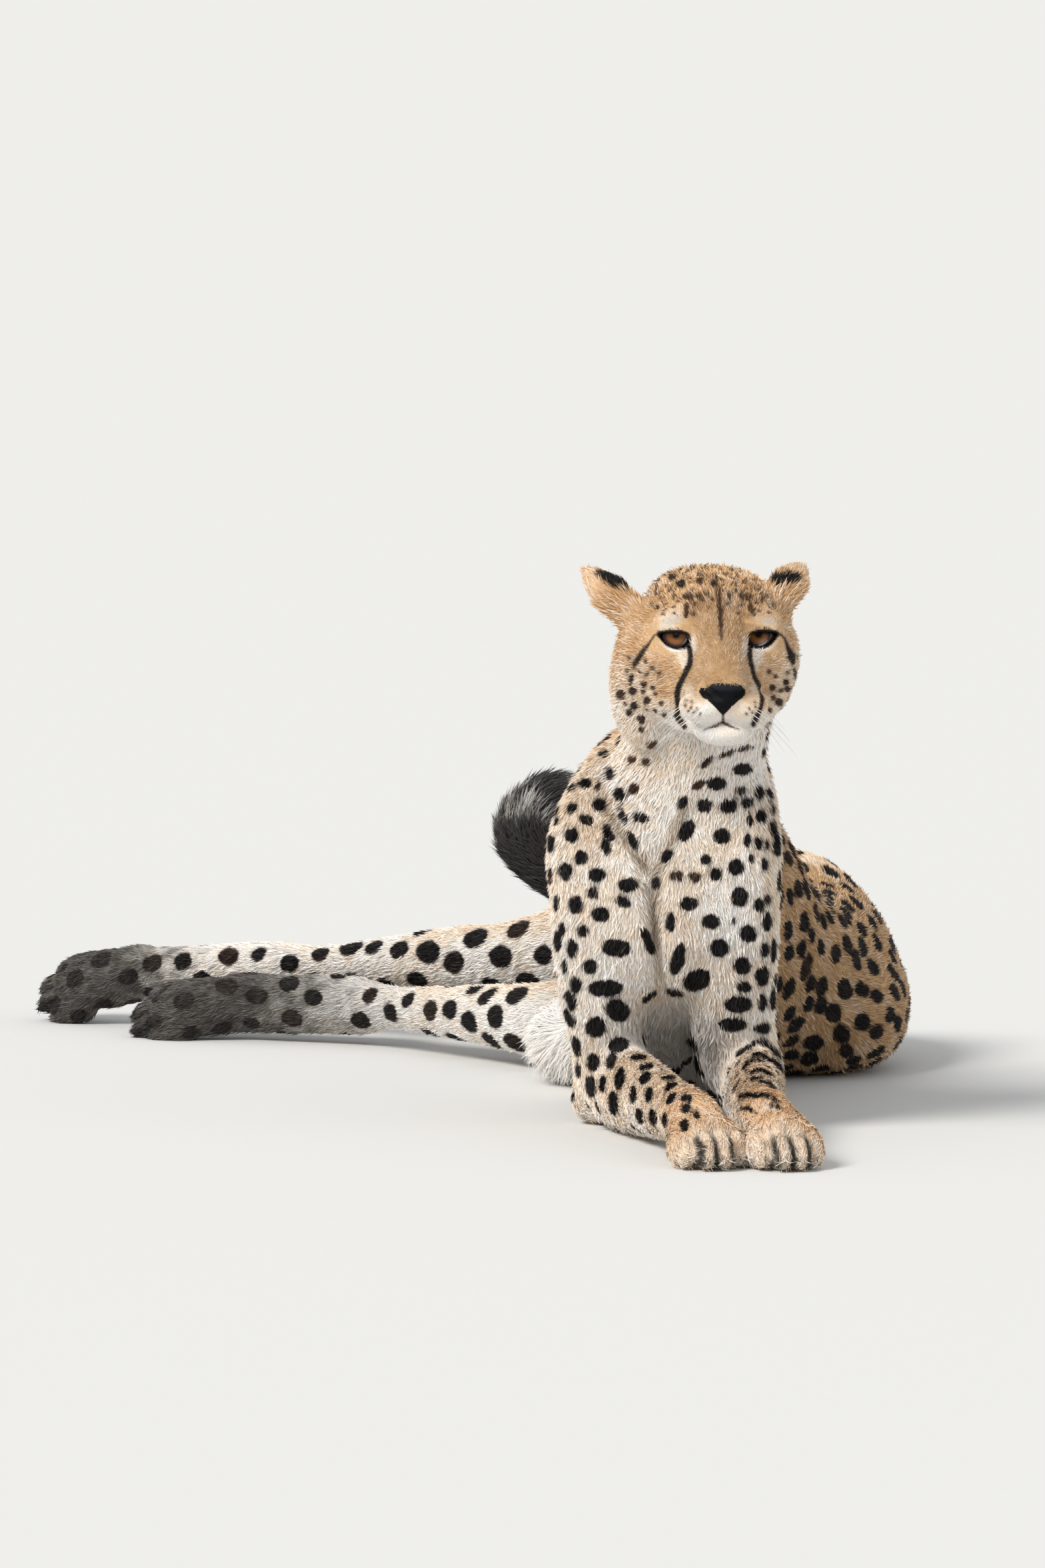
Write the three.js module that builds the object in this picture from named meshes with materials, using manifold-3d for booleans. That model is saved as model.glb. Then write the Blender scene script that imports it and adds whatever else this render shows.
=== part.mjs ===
// A cheetah at life size, lying on its chest and left hip with both forelegs stretched out in
// front, both hind legs stretched out to its right, and the tail curled up behind it.
// Millimetres, +Z up. The animal faces -Y and its left side is +X. The floor is z = 0.
//
// The body is one smooth shape made of ovals that melt into each other. Each named piece is that
// shape inside a block of space of its own, meshed in small cells and thinned to a few faces.

import * as THREE from 'three';
import { SimplifyModifier } from 'three/addons/modifiers/SimplifyModifier.js';
import { mergeVertices } from 'three/addons/utils/BufferGeometryUtils.js';
import Module from 'manifold-3d';

const wasm = await Module();
wasm.setup();
const thinner = new SimplifyModifier();

// ---------------------------------------------------------------- driving dimensions
const SEAM = 0.35;                    // gap between neighbouring pieces
const MIDLINE = -38;                  // where the breastbone lies across the body

const EYE_LEVEL = [10, 200, 435];     // halfway between the eyeballs
const HEAD_YAW = 5.5;                 // degrees that the face turns to the animal's left
const HEAD_PITCH = -4;                // degrees that the nose points up
const EYE_HALF_SPACING = 36;
const EYE_RADIUS = 16;
const SOCKET_RADIUS = EYE_RADIUS + SEAM;

const RIGHT_ELBOW = [-82, 362, 38];
const RIGHT_WRIST = [-17, 115, 36];
const LEFT_ELBOW = [38, 362, 38];
const LEFT_WRIST = [49, 111, 36];
const PAW_TURN = { right: 0.26, left: 0.24 };    // how far each forepaw points to the left for each 1 ahead
const FOREPAW = { length: 104, width: 61, height: 52, toe: 12.5 };

const LEFT_HIP = [70, 840, 60];
const LEFT_KNEE = [-135, 815, 44];
const LEFT_HOCK = [-312, 1012, 36];
const LEFT_TOE_ROOT = [-414, 1058, 33];
const RIGHT_HIP = [75, 880, 126];
const RIGHT_KNEE = [-165, 985, 84];
const RIGHT_HOCK = [-385, 1110, 60];
const RIGHT_TOE_ROOT = [-512, 1180, 47];
const HIND_PAW = { length: 100, width: 62, height: 52, toe: 12, sole: true };

const COAT = new THREE.Color(0xc8a06c);
const PALE_COAT = new THREE.Color(0xe2d3ba);
const DUSTY_FOOT = new THREE.Color(0x6d6153);
const DARK_TAIL = new THREE.Color(0x45413c);
const AMBER = new THREE.Color(0x7d4a1c);

// ---------------------------------------------------------------- vectors
const UP = [0, 0, 1];
const WORLD = [[1, 0, 0], [0, 1, 0], UP];
const add = (a, b) => [a[0] + b[0], a[1] + b[1], a[2] + b[2]];
const sub = (a, b) => [a[0] - b[0], a[1] - b[1], a[2] - b[2]];
const times = (a, s) => [a[0] * s, a[1] * s, a[2] * s];
const dot = (a, b) => a[0] * b[0] + a[1] * b[1] + a[2] * b[2];
const cross = (a, b) => [a[1] * b[2] - a[2] * b[1], a[2] * b[0] - a[0] * b[2], a[0] * b[1] - a[1] * b[0]];
const unit = (a) => times(a, 1 / Math.hypot(...a));
const between = (a, b, t) => add(a, times(sub(b, a), t));
const radians = THREE.MathUtils.degToRad;

/** Side, forward and up directions of something that faces one way. */
function facing(forward, up) {
  const f = unit(forward);
  const side = unit(cross(up, f));
  return [side, f, cross(f, side)];
}

// ---------------------------------------------------------------- soft solids
// Each shape answers distance(point): below 0 inside, above 0 outside, about true near its skin.
const FAR = 60;
const REACH = 30;                     // how far from a shape it can still matter

function join(a, b, blend) {
  const h = Math.max(blend - Math.abs(a - b), 0) / blend;
  return Math.min(a, b) - (h * h * blend) / 4;
}
const carve = (a, b, blend) => -join(-a, b, blend);

/** Joins shapes in order at a point; a shape marked cut is hollowed out instead. */
function melt(shapes, point) {
  let d = FAR;
  for (const shape of shapes) {
    const margin = REACH + shape.blend;
    if (point.some((v, i) => v < shape.low[i] - margin || v > shape.high[i] + margin)) continue;
    const blend = shape.blendAt ? shape.blendAt(point) : shape.blend;
    const other = shape.distance(point);
    d = shape.cut ? carve(d, other, blend) : join(d, other, blend);
  }
  return d;
}

/** An ellipsoid; a power over 2 makes it boxier. */
class Egg {
  constructor(centre, half, blend = 12, power = 2, cut = false) {
    Object.assign(this, { centre, half, blend, power, cut });
    this.low = sub(centre, half);
    this.high = add(centre, half);
  }
  distance(point) {
    const q = sub(point, this.centre);
    const sum = q.reduce((s, v, i) => s + Math.abs(v / this.half[i]) ** this.power, 0);
    const r = sum ** (1 / this.power);
    return r < 0.05 ? -Math.min(...this.half) : Math.hypot(...q) * (1 - 1 / r);
  }
}

/** A smooth run through values, Catmull-Rom, with steps samples to a span. */
function spline(values, steps) {
  const v = [values[0].map((x, i) => 2 * x - values[1][i]), ...values];
  v.push(values.at(-1).map((x, i) => 2 * x - values.at(-2)[i]));
  const out = [];
  for (let k = 0; k + 1 < values.length; k++) {
    const [a, b, c, d] = v.slice(k, k + 4);
    for (let s = 0; s < steps; s++) {
      const t = s / steps;
      out.push(b.map((_, i) => 0.5 * (2 * b[i] + (c[i] - a[i]) * t
        + (2 * a[i] - 5 * b[i] + 4 * c[i] - d[i]) * t * t
        + (3 * b[i] - a[i] - 3 * c[i] + d[i]) * t ** 3)));
    }
  }
  out.push(values.at(-1));
  return out;
}

/** Oval sections along a smooth line. A station is [point, half width, half depth, depth direction]. */
class Sleeve {
  constructor(stations, blend = 12, { steps = 4, cut = false } = {}) {
    Object.assign(this, { blend, cut });
    this.points = spline(stations.map((s) => s[0]), steps);
    this.widths = spline(stations.map((s) => [s[1]]), steps).flat();
    this.depths = spline(stations.map((s) => [s[2]]), steps).flat();
    const ups = spline(stations.map((s) => s[3]), steps);
    const last = this.points.length - 1;
    this.tangents = this.points.map((_, i) => {
      return unit(sub(this.points[Math.min(i + 1, last)], this.points[Math.max(i - 1, 0)]));
    });
    this.ups = ups.map((u, i) => unit(sub(u, times(this.tangents[i], dot(u, this.tangents[i])))));
    this.sides = this.ups.map((u, i) => cross(this.tangents[i], u));
    const widest = this.widths.map((w, i) => Math.max(w, this.depths[i]));
    const reach = (pick, sign) => [0, 1, 2].map((a) => {
      return pick(...this.points.map((p, i) => p[a] + sign * widest[i]));
    });
    this.low = reach(Math.min, -1);
    this.high = reach(Math.max, 1);
  }
  /** The segment, and the share of it, where the plane across the line passes through a point. */
  place(point) {
    let near = 0;
    let best = Infinity;
    this.points.forEach((p, i) => {
      const d = (p[0] - point[0]) ** 2 + (p[1] - point[1]) ** 2 + (p[2] - point[2]) ** 2;
      if (d < best) [best, near] = [d, i];
    });
    const ahead = dot(sub(point, this.points[near]), this.tangents[near]) >= 0;
    const i = Math.min(Math.max(ahead ? near : near - 1, 0), this.points.length - 2);
    const before = dot(sub(point, this.points[i]), this.tangents[i]);
    const after = dot(sub(this.points[i + 1], point), this.tangents[i + 1]);
    const t = before + after > 1e-6 ? before / (before + after) : 0.5;
    return [i, Math.min(Math.max(t, 0), 1)];
  }
  distance(point) {
    const [i, t] = this.place(point);
    const off = sub(point, between(this.points[i], this.points[i + 1], t));
    const x = dot(off, between(this.sides[i], this.sides[i + 1], t));
    const z = dot(off, between(this.ups[i], this.ups[i + 1], t));
    const w = this.widths[i] + (this.widths[i + 1] - this.widths[i]) * t;
    const d = this.depths[i] + (this.depths[i + 1] - this.depths[i]) * t;
    const square = dot(off, off);
    const rest = Math.max(square - x * x - z * z, 0);
    const thin = Math.min(w, d);
    const r = Math.sqrt((x / w) ** 2 + (z / d) ** 2 + rest / thin ** 2);
    return r < 0.05 ? -thin : Math.sqrt(square) * (1 - 1 / r);
  }
}

/** Shapes in a frame of their own. With a root, it melts into the rest only near that point. */
class Cluster {
  constructor(shapes, { origin = [0, 0, 0], axes = WORLD, blend = 4, root = null } = {}) {
    Object.assign(this, { shapes, origin, axes, blend, root, cut: false });
    const solid = shapes.filter((s) => !s.cut);
    const corner = (pick, key) => [0, 1, 2].map((a) => pick(...solid.map((s) => s[key][a])));
    const low = corner(Math.min, 'low');
    const high = corner(Math.max, 'high');
    const middle = this.toWorld(between(low, high, 0.5));
    const half = times(sub(high, low), 0.5);
    const reach = [0, 1, 2].map((a) => axes.reduce((s, axis, i) => s + Math.abs(axis[a]) * half[i], 0));
    this.low = sub(middle, reach);
    this.high = add(middle, reach);
  }
  toWorld(p) {
    return this.axes.reduce((sum, axis, i) => add(sum, times(axis, p[i])), this.origin);
  }
  blendAt(point) {
    if (!this.root) return this.blend;
    const away = Math.hypot(...sub(point, this.root.at)) / this.root.reach;
    return Math.max(this.blend * (1 - THREE.MathUtils.smoothstep(away, 0.6, 1)), 1.5);
  }
  distance(point) {
    const q = sub(point, this.origin);
    return melt(this.shapes, this.axes.map((axis) => dot(q, axis)));
  }
}

// ---------------------------------------------------------------- trunk and neck
/** The back's direction, rolled from straight up towards the animal's left. */
function leaning(degrees) {
  return [Math.sin(radians(degrees)), 0, Math.cos(radians(degrees))];
}

function trunk() {
  const spine = new Sleeve([
    [[MIDLINE, 300, 200], 62, 84, leaning(0)],
    [[MIDLINE, 380, 194], 80, 138, leaning(0)],
    [[-38, 480, 174], 81, 150, leaning(3)],
    [[-25, 580, 144], 83, 146, leaning(17)],
    [[2, 680, 109], 89, 116, leaning(44)],
    [[42, 765, 86], 86, 104, leaning(70)],
    [[74, 850, 85], 87, 96, leaning(80)],
    [[82, 925, 82], 82, 80, leaning(80)],
    [[82, 965, 78], 62, 56, leaning(80)],
  ], 10, { steps: 8 });
  const breasts = [new Egg([-78, 296, 198], [42, 42, 78], 28), new Egg([10, 296, 198], [44, 42, 78], 28)];
  const columns = [[-85, 37, 2], [19, 40, -1]].map(([x, width, turn]) => new Sleeve([
    [[x, 300, 225], width - 2, 42, [0, 1, 0]],
    [[x, 304, 170], width, 45, [0, 1, 0.05]],
    [[x + turn, 320, 112], width - 3, 44, [0, 1, 0.2]],
    [[x + 2 * turn, 346, 66], width - 10, 34, [0, 1, 0.4]],
  ], 16));
  const groove = new Sleeve([
    [[-51, 252, 236], 4, 7, [0, 1, 0]], [[-47, 247, 208], 5, 11, [0, 1, 0]],
    [[-43, 248, 174], 5, 14, [0, 1, 0]], [[-40, 255, 144], 6, 17, [0, 1, 0]],
    [[-36, 272, 112], 9, 20, [0, 1, 0.4]], [[-34, 302, 86], 12, 20, [0, 1, 1]],
  ], 14, { cut: true });
  const haunch = new Egg([102, 826, 50], [78, 118, 54], 34, 2.3);
  const brisket = new Egg([-14, 474, 32], [44, 62, 36], 26);
  const belly = [new Egg([-62, 618, 40], [54, 84, 52], 30), new Egg([-92, 706, 36], [70, 82, 46], 30)];
  return [spine, ...breasts, ...columns, haunch, brisket, ...belly, groove];
}

function neck() {
  return new Sleeve([
    [[-37, 378, 232], 84, 98, [0, 0.7, 0.7]],
    [[-21, 342, 292], 72, 80, [0, 0.85, 0.5]],
    [[-6, 312, 346], 61, 66, [0, 0.95, 0.3]],
    [[4, 292, 392], 62, 62, [0, 1, 0.1]],
    [[8, 280, 424], 52, 54, [0, 1, 0]],
  ], 24, { steps: 8 });
}

/** Shoulder blade, upper arm and point of the elbow. blade is how far out its three places lie. */
function shoulder(side, blade, [top, middle, bottom]) {
  const out = blade.map((b) => MIDLINE + side * b);
  return [
    new Sleeve([
      [[out[0], 430, 322], 15, 36, [0, 0.6, -0.8]],
      [[out[1], 388, 296], 24, 46, [0, 0.7, -0.7]],
      [[out[2], 322, 252], 27, 48, [0, 0.9, -0.5]],
      [[top, 312, 200], 30, 48, [0, 1, 0]],
      [[middle, 332, 130], 30, 50, [0, 1, 0.2]],
      [[bottom, 362, 60], 27, 40, [0, 1, 0.2]],
    ], 20, { steps: 7 }),
    new Egg([bottom, 388, 42], [22, 24, 36], 16),
  ];
}

// ---------------------------------------------------------------- legs
/** A paw with four toes; its origin is the joint above it and it points along its own y. */
function paw({ length, width, height, toe, sole = false }) {
  const shapes = [new Sleeve([
    [[0, -6, 0], width * 0.30, height * 0.46, UP],
    [[0, length * 0.35, -height * 0.12], width * 0.42, height * 0.48, UP],
    [[0, length * 0.62, -height * 0.24], width * 0.45, height * 0.43, UP],
  ], 10)];
  if (sole) {
    shapes.push(new Egg([0, length * 0.24, -height * 0.36], [width * 0.4, length * 0.36, height * 0.28], 10));
  }
  const TOES = [[-1.5, 0.86], [-0.52, 1], [0.52, 1], [1.5, 0.86]];   // place across, reach
  for (const [place, reach] of TOES) {
    const x = place * width * 0.235;
    shapes.push(new Sleeve([
      [[x * 0.8, length * 0.45, -height * 0.14], toe * 0.95, toe * 1.1, UP],
      [[x, length * 0.70 * reach, -height * 0.33], toe, toe * 1.5, UP],
      [[x * 1.04, length * 0.88 * reach, -height * 0.41], toe * 0.97, toe * 1.25, UP],
      [[x * 1.04, length * 0.97 * reach, -height * 0.49], toe * 0.74, toe * 0.9, UP],
    ], 5));
  }
  return shapes;
}

function foreleg(elbow, wrist, turn, resting = []) {
  const SECTIONS = [                  // share of the way to the wrist, half width, half depth
    [-0.04, 26, 37], [0.2, 28, 40], [0.5, 25, 35], [0.8, 21, 29], [1, 21, 25], [1.1, 22, 24],
  ];
  const arm = new Sleeve(SECTIONS.map(([t, w, d]) => [between(elbow, wrist, t), w, d, UP]), 18);
  const hand = new Cluster(paw(FOREPAW), { origin: wrist, axes: facing([turn, -1, 0], UP), blend: 10 });
  return new Cluster([arm, ...resting, hand], { blend: 22, root: { at: elbow, reach: 130 } });
}

/** Thigh, shank and long foot; sizes are half width and half depth at eight places down the leg. */
function hindLeg({ hip, knee, hock, toeRoot, sizes, pawForward, pawUp }) {
  const places = [hip, between(hip, knee, 0.5), knee, between(knee, hock, 0.3), between(knee, hock, 0.78),
    hock, between(hock, toeRoot, 0.5), toeRoot];
  const leg = new Sleeve(places.map((p, i) => [p, ...sizes[i], [0, -0.3, 1]]), 14, { steps: 6 });
  const axes = facing(pawForward, pawUp);
  const foot = new Cluster(paw(HIND_PAW), { origin: add(toeRoot, times(axes[2], 9)), axes, blend: 8 });
  return new Cluster([leg, foot], { blend: 26, root: { at: hip, reach: 300 } });
}

// ---------------------------------------------------------------- head
const both = (make) => [make(-1), make(1)];

/** In the head's own frame: x to the animal's left, y forward, z up, origin between the eyeballs. */
function head() {
  return [
    new Egg([0, -74, 0], [60, 68, 50], 10, 2.4),                                      // braincase
    new Egg([0, -22, 20], [46, 38, 27], 20),                                          // forehead
    new Egg([-49, -40, -24], [37, 44, 42], 24),                                       // cheeks
    new Egg([42, -40, -24], [33, 44, 42], 24),
    new Egg([-57, -64, -56], [31, 36, 50], 18),                                       // ruff
    new Egg([34, -58, -50], [27, 36, 36], 18),
    new Sleeve([[[0, -30, -14], 60, 46, UP], [[0, 2, -17], 49, 34, UP], [[0, 26, -30], 38, 28, UP],
      [[0, 48, -42], 30, 21, UP], [[0, 58, -47], 24, 15, UP]], 14),                   // upper jaw
    new Sleeve([[[0, -8, 12], 24, 18, UP], [[0, 22, 2], 20, 15, UP], [[0, 46, -16], 17.5, 12.5, UP],
      [[0, 64, -30], 15.5, 9.5, UP]], 10),                                            // bridge
    ...both((m) => new Egg([m * 45, -6, -24], [20, 24, 17], 18)),                     // cheekbones
    ...both((m) => new Egg([m * 38, -12, -50], [24, 36, 22], 18)),                    // lower cheeks
    ...both((m) => new Egg([m * 33, 0, 14], [21, 14, 9], 14)),                        // brows
    ...both((m) => new Sleeve([[[m * 40, -44, -58], 15, 20, UP], [[m * 30, -4, -67], 13, 13, UP],
      [[m * 13, 34, -72], 11, 9, UP]], 12)),                                          // lower jaw
    new Egg([0, -14, -60], [40, 50, 24], 16),                                         // throat
    new Egg([1, 46, -74], [25, 20, 13], 8),                                           // chin
    ...both((m) => new Egg([m * 18, 51, -52], [20, 22, 14.5], 7)),                    // whisker pads
    new Egg([0, 66, -35], [18, 11, 9.5], 5),                                          // nose
    new Egg([0, 67, -45], [11, 9, 9], 5),
    ...both((m) => new Egg([m * EYE_HALF_SPACING, 0, 0], [20, 19.6, 19.5], 6)),       // eyelids
    ...both((m) => new Egg([m * (EYE_HALF_SPACING + 1), 22, -1], [15, 13, 8.5], 3, 2, true)),
  ];
}

const EARS = {
  right: { root: [-74, -62, 16], tip: [-106, -89, 44], across: [-0.55, 0.15, -0.8] },
  left: { root: [60, -66, 25], tip: [82, -100, 46], across: [0.9, 0.1, -0.45] },
};

/** A cupped leaf from root to tip. across runs over its width, and its back faces forward. */
function ear({ root, tip, across }) {
  const WIDTH = 17.5;
  const along = unit(sub(tip, root));
  const normal = unit(cross(unit(across), along));
  const back = normal[1] < 0 ? times(normal, -1) : normal;
  const at = (t, lift = 0) => add(between(root, tip, t), times(back, lift));
  const leaf = new Sleeve([
    [at(-0.35), WIDTH, 13, back],
    [at(0.1, 1), WIDTH * 1.05, 12, back],
    [at(0.45, 1), WIDTH * 0.92, 10, back],
    [at(0.75), WIDTH * 0.66, 7.5, back],
    [at(0.93, -2), WIDTH * 0.36, 5, back],
  ], 12);
  const bowl = new Sleeve([
    [at(0.2, -19), WIDTH * 0.62, 14, back],
    [at(0.55, -14), WIDTH * 0.6, 9, back],
    [at(0.8, -10), WIDTH * 0.3, 5, back],
  ], 5, { cut: true });
  return [leaf, bowl];
}

// ---------------------------------------------------------------- tail
const TAIL = [
  [[120, 930, 104], 34], [[128, 1000, 66], 27], [[108, 1078, 30], 25], [[40, 1150, 27], 26],
  [[-40, 1188, 54], 28], [[-104, 1203, 120], 33], [[-157, 1207, 168], 37], [[-143, 1210, 198], 33],
  [[-112, 1212, 204], 25],
];
const tail = () => new Sleeve(TAIL.map(([point, radius]) => [point, radius, radius, UP]), 16, { steps: 5 });

// ---------------------------------------------------------------- the whole body
const gaze = [
  Math.sin(radians(HEAD_YAW)) * Math.cos(radians(HEAD_PITCH)),
  -Math.cos(radians(HEAD_YAW)) * Math.cos(radians(HEAD_PITCH)),
  Math.sin(radians(HEAD_PITCH)),
];
const skull = new Cluster([...head(), ...ear(EARS.right), ...ear(EARS.left)],
  { origin: EYE_LEVEL, axes: facing(gaze, UP), blend: 16 });
const rightForeleg = foreleg(RIGHT_ELBOW, RIGHT_WRIST, PAW_TURN.right,
  [new Egg([-97, 380, 19], [19, 24, 19], 12)]);
const leftForeleg = foreleg(LEFT_ELBOW, LEFT_WRIST, PAW_TURN.left);
const leftHindLeg = hindLeg({
  hip: LEFT_HIP, knee: LEFT_KNEE, hock: LEFT_HOCK, toeRoot: LEFT_TOE_ROOT,
  sizes: [[62, 60], [52, 46], [34, 36], [29, 29], [18, 21], [22, 28], [20, 29], [20, 29]],
  pawForward: [-1, 0.1, -0.1], pawUp: [0, -0.75, 0.65],
});
const rightHindLeg = hindLeg({
  hip: RIGHT_HIP, knee: RIGHT_KNEE, hock: RIGHT_HOCK, toeRoot: RIGHT_TOE_ROOT,
  sizes: [[60, 64], [52, 58], [30, 34], [27, 30], [17, 19], [21, 25], [19, 25], [19, 25]],
  pawForward: [-1, 0.36, -0.18], pawUp: [0, -0.75, 0.65],
});
const body = [
  ...trunk(),
  ...shoulder(-1, [8, 41, 71], [-104, -98, -84]),
  ...shoulder(1, [32, 62, 76], [30, 28, 34]),
  neck(), skull, rightForeleg, leftForeleg, leftHindLeg, rightHindLeg, tail(),
];

// ---------------------------------------------------------------- meshing
/** One closed mesh of where the shapes' distance is 0, on a grid of cubes, one vertex to a cube. */
function skinOf(shapes, low, high, cell) {
  const size = [0, 1, 2].map((a) => Math.ceil((high[a] - low[a]) / cell) + 3);
  const start = low.map((v) => v - cell);
  const [nx, ny, nz] = size;
  const step = [ny * nz, nz, 1];
  const value = new Float32Array(nx * ny * nz).fill(FAR);
  for (let i = 1; i < nx - 1; i++) {
    for (let j = 1; j < ny - 1; j++) {
      for (let k = 1; k < nz - 1; k++) {
        const point = [start[0] + i * cell, start[1] + j * cell, start[2] + k * cell];
        value[i * step[0] + j * step[1] + k] = melt(shapes, point) || 1e-6;
      }
    }
  }
  const positions = [];
  const vertexOf = new Int32Array(nx * ny * nz).fill(-1);
  for (let i = 0; i < nx - 1; i++) {
    for (let j = 0; j < ny - 1; j++) {
      for (let k = 0; k < nz - 1; k++) {
        const middle = crossingsMiddle(value, step, [i, j, k]);
        if (!middle) continue;
        vertexOf[i * step[0] + j * step[1] + k] = positions.length / 3;
        positions.push(...[i, j, k].map((n, a) => start[a] + (n + middle[a]) * cell));
      }
    }
  }
  const geometry = new THREE.BufferGeometry();
  geometry.setAttribute('position', new THREE.Float32BufferAttribute(positions, 3));
  geometry.setIndex(new THREE.Uint32BufferAttribute(facesOf(value, vertexOf, size, step), 1));
  return geometry;
}

/** The middle of the places where a cube's edges cross the surface, or null where none do. */
function crossingsMiddle(value, step, cube) {
  const base = dot(cube, step);
  const sum = [0, 0, 0];
  let count = 0;
  for (let corner = 0; corner < 8; corner++) {
    const bits = [corner & 1, (corner >> 1) & 1, corner >> 2];
    const here = value[base + dot(bits, step)];
    for (let a = 0; a < 3; a++) {
      if (bits[a]) continue;
      const there = value[base + dot(bits, step) + step[a]];
      if (here < 0 === there < 0) continue;
      bits.forEach((b, i) => { sum[i] += b; });
      sum[a] += here / (here - there);
      count++;
    }
  }
  return count ? times(sum, 1 / count) : null;
}

/** Two triangles across each grid edge that the surface crosses, facing out. */
function facesOf(value, vertexOf, size, step) {
  const triangles = [];
  for (let i = 0; i < size[0] - 1; i++) {
    for (let j = 0; j < size[1] - 1; j++) {
      for (let k = 0; k < size[2] - 1; k++) {
        const here = dot([i, j, k], step);
        for (let a = 0; a < 3; a++) {
          const there = here + step[a];
          if (value[here] < 0 === value[there] < 0) continue;
          const u = step[(a + 1) % 3];
          const v = step[(a + 2) % 3];
          const ring = [here - u - v, here - v, here, here - u].map((n) => vertexOf[n]);
          if (value[here] >= 0) ring.reverse();
          triangles.push(ring[0], ring[1], ring[2], ring[0], ring[2], ring[3]);
        }
      }
    }
  }
  return triangles;
}

function solidOf(geometry) {
  geometry.deleteAttribute('normal');
  geometry.deleteAttribute('uv');
  const merged = mergeVertices(geometry);
  return new wasm.Manifold(new wasm.Mesh({
    numProp: 3, vertProperties: merged.attributes.position.array, triVerts: merged.index.array,
  }));
}

/** Thins a closed mesh to about so many faces, keeping them where it curves. */
function thinned(geometry, faces) {
  return thinner.modify(geometry, geometry.attributes.position.count - faces / 2);
}

function geometryOf(manifold) {
  const mesh = manifold.getMesh();
  const geometry = new THREE.BufferGeometry();
  geometry.setAttribute('position', new THREE.BufferAttribute(mesh.vertProperties, 3));
  geometry.setIndex(new THREE.BufferAttribute(mesh.triVerts, 1));
  return geometry;
}

/** A box of space along a line from one point to another, grown by grow on every side. */
class Block {
  constructor(from, to, halfWidth, halfDepth, up = UP) {
    Object.assign(this, { from, to, halfWidth, halfDepth });
    const forward = unit(sub(to, from));
    const side = unit(cross(forward, up));
    this.axes = [side, forward, cross(side, forward)];
  }
  solid(grow = 0) {
    const length = Math.hypot(...sub(this.to, this.from));
    const sizes = [this.halfWidth * 2, length, this.halfDepth * 2].map((s) => s + 2 * grow);
    const [x, y, z] = this.axes.map((axis) => new THREE.Vector3(...axis));
    const place = new THREE.Matrix4().makeBasis(x, y, z).setPosition(...between(this.from, this.to, 0.5));
    return solidOf(new THREE.BoxGeometry(...sizes).applyMatrix4(place));
  }
  bounds() {
    const { min, max } = this.solid().boundingBox();
    return [min, max];
  }
}

// ---------------------------------------------------------------- pieces
const bridge = (from, direction, length) => [from, add(from, times(unit(direction), length))];
const inHead = (p) => skull.toWorld(p);
const THROAT_TO_NAPE = { at: [5, 296, 383], up: [0, -0.56, 0.83], across: [0, 0.83, 0.56] };
const NECK_ROOT = { at: [MIDLINE, 340, 304], up: [0, -0.42, 0.91], across: [0, 0.91, 0.42] };
const PAW_HALF_WIDTH = 34.5;
const TAIL_CUTS = [[128, 985, 74], [66, 1132, 28], [-58, 1192, 70], [-190, 1210, 200]];

function earBlock({ root, tip, across }) {
  return new Block(inHead(between(root, tip, 0.12)), inHead(between(root, tip, 1.5)), 24, 36,
    sub(inHead(across), inHead([0, 0, 0])));
}

function pawBlock(wrist, turn) {
  return new Block(...bridge(wrist, [turn, -1, 0], 140), PAW_HALF_WIDTH, 70);
}

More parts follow.
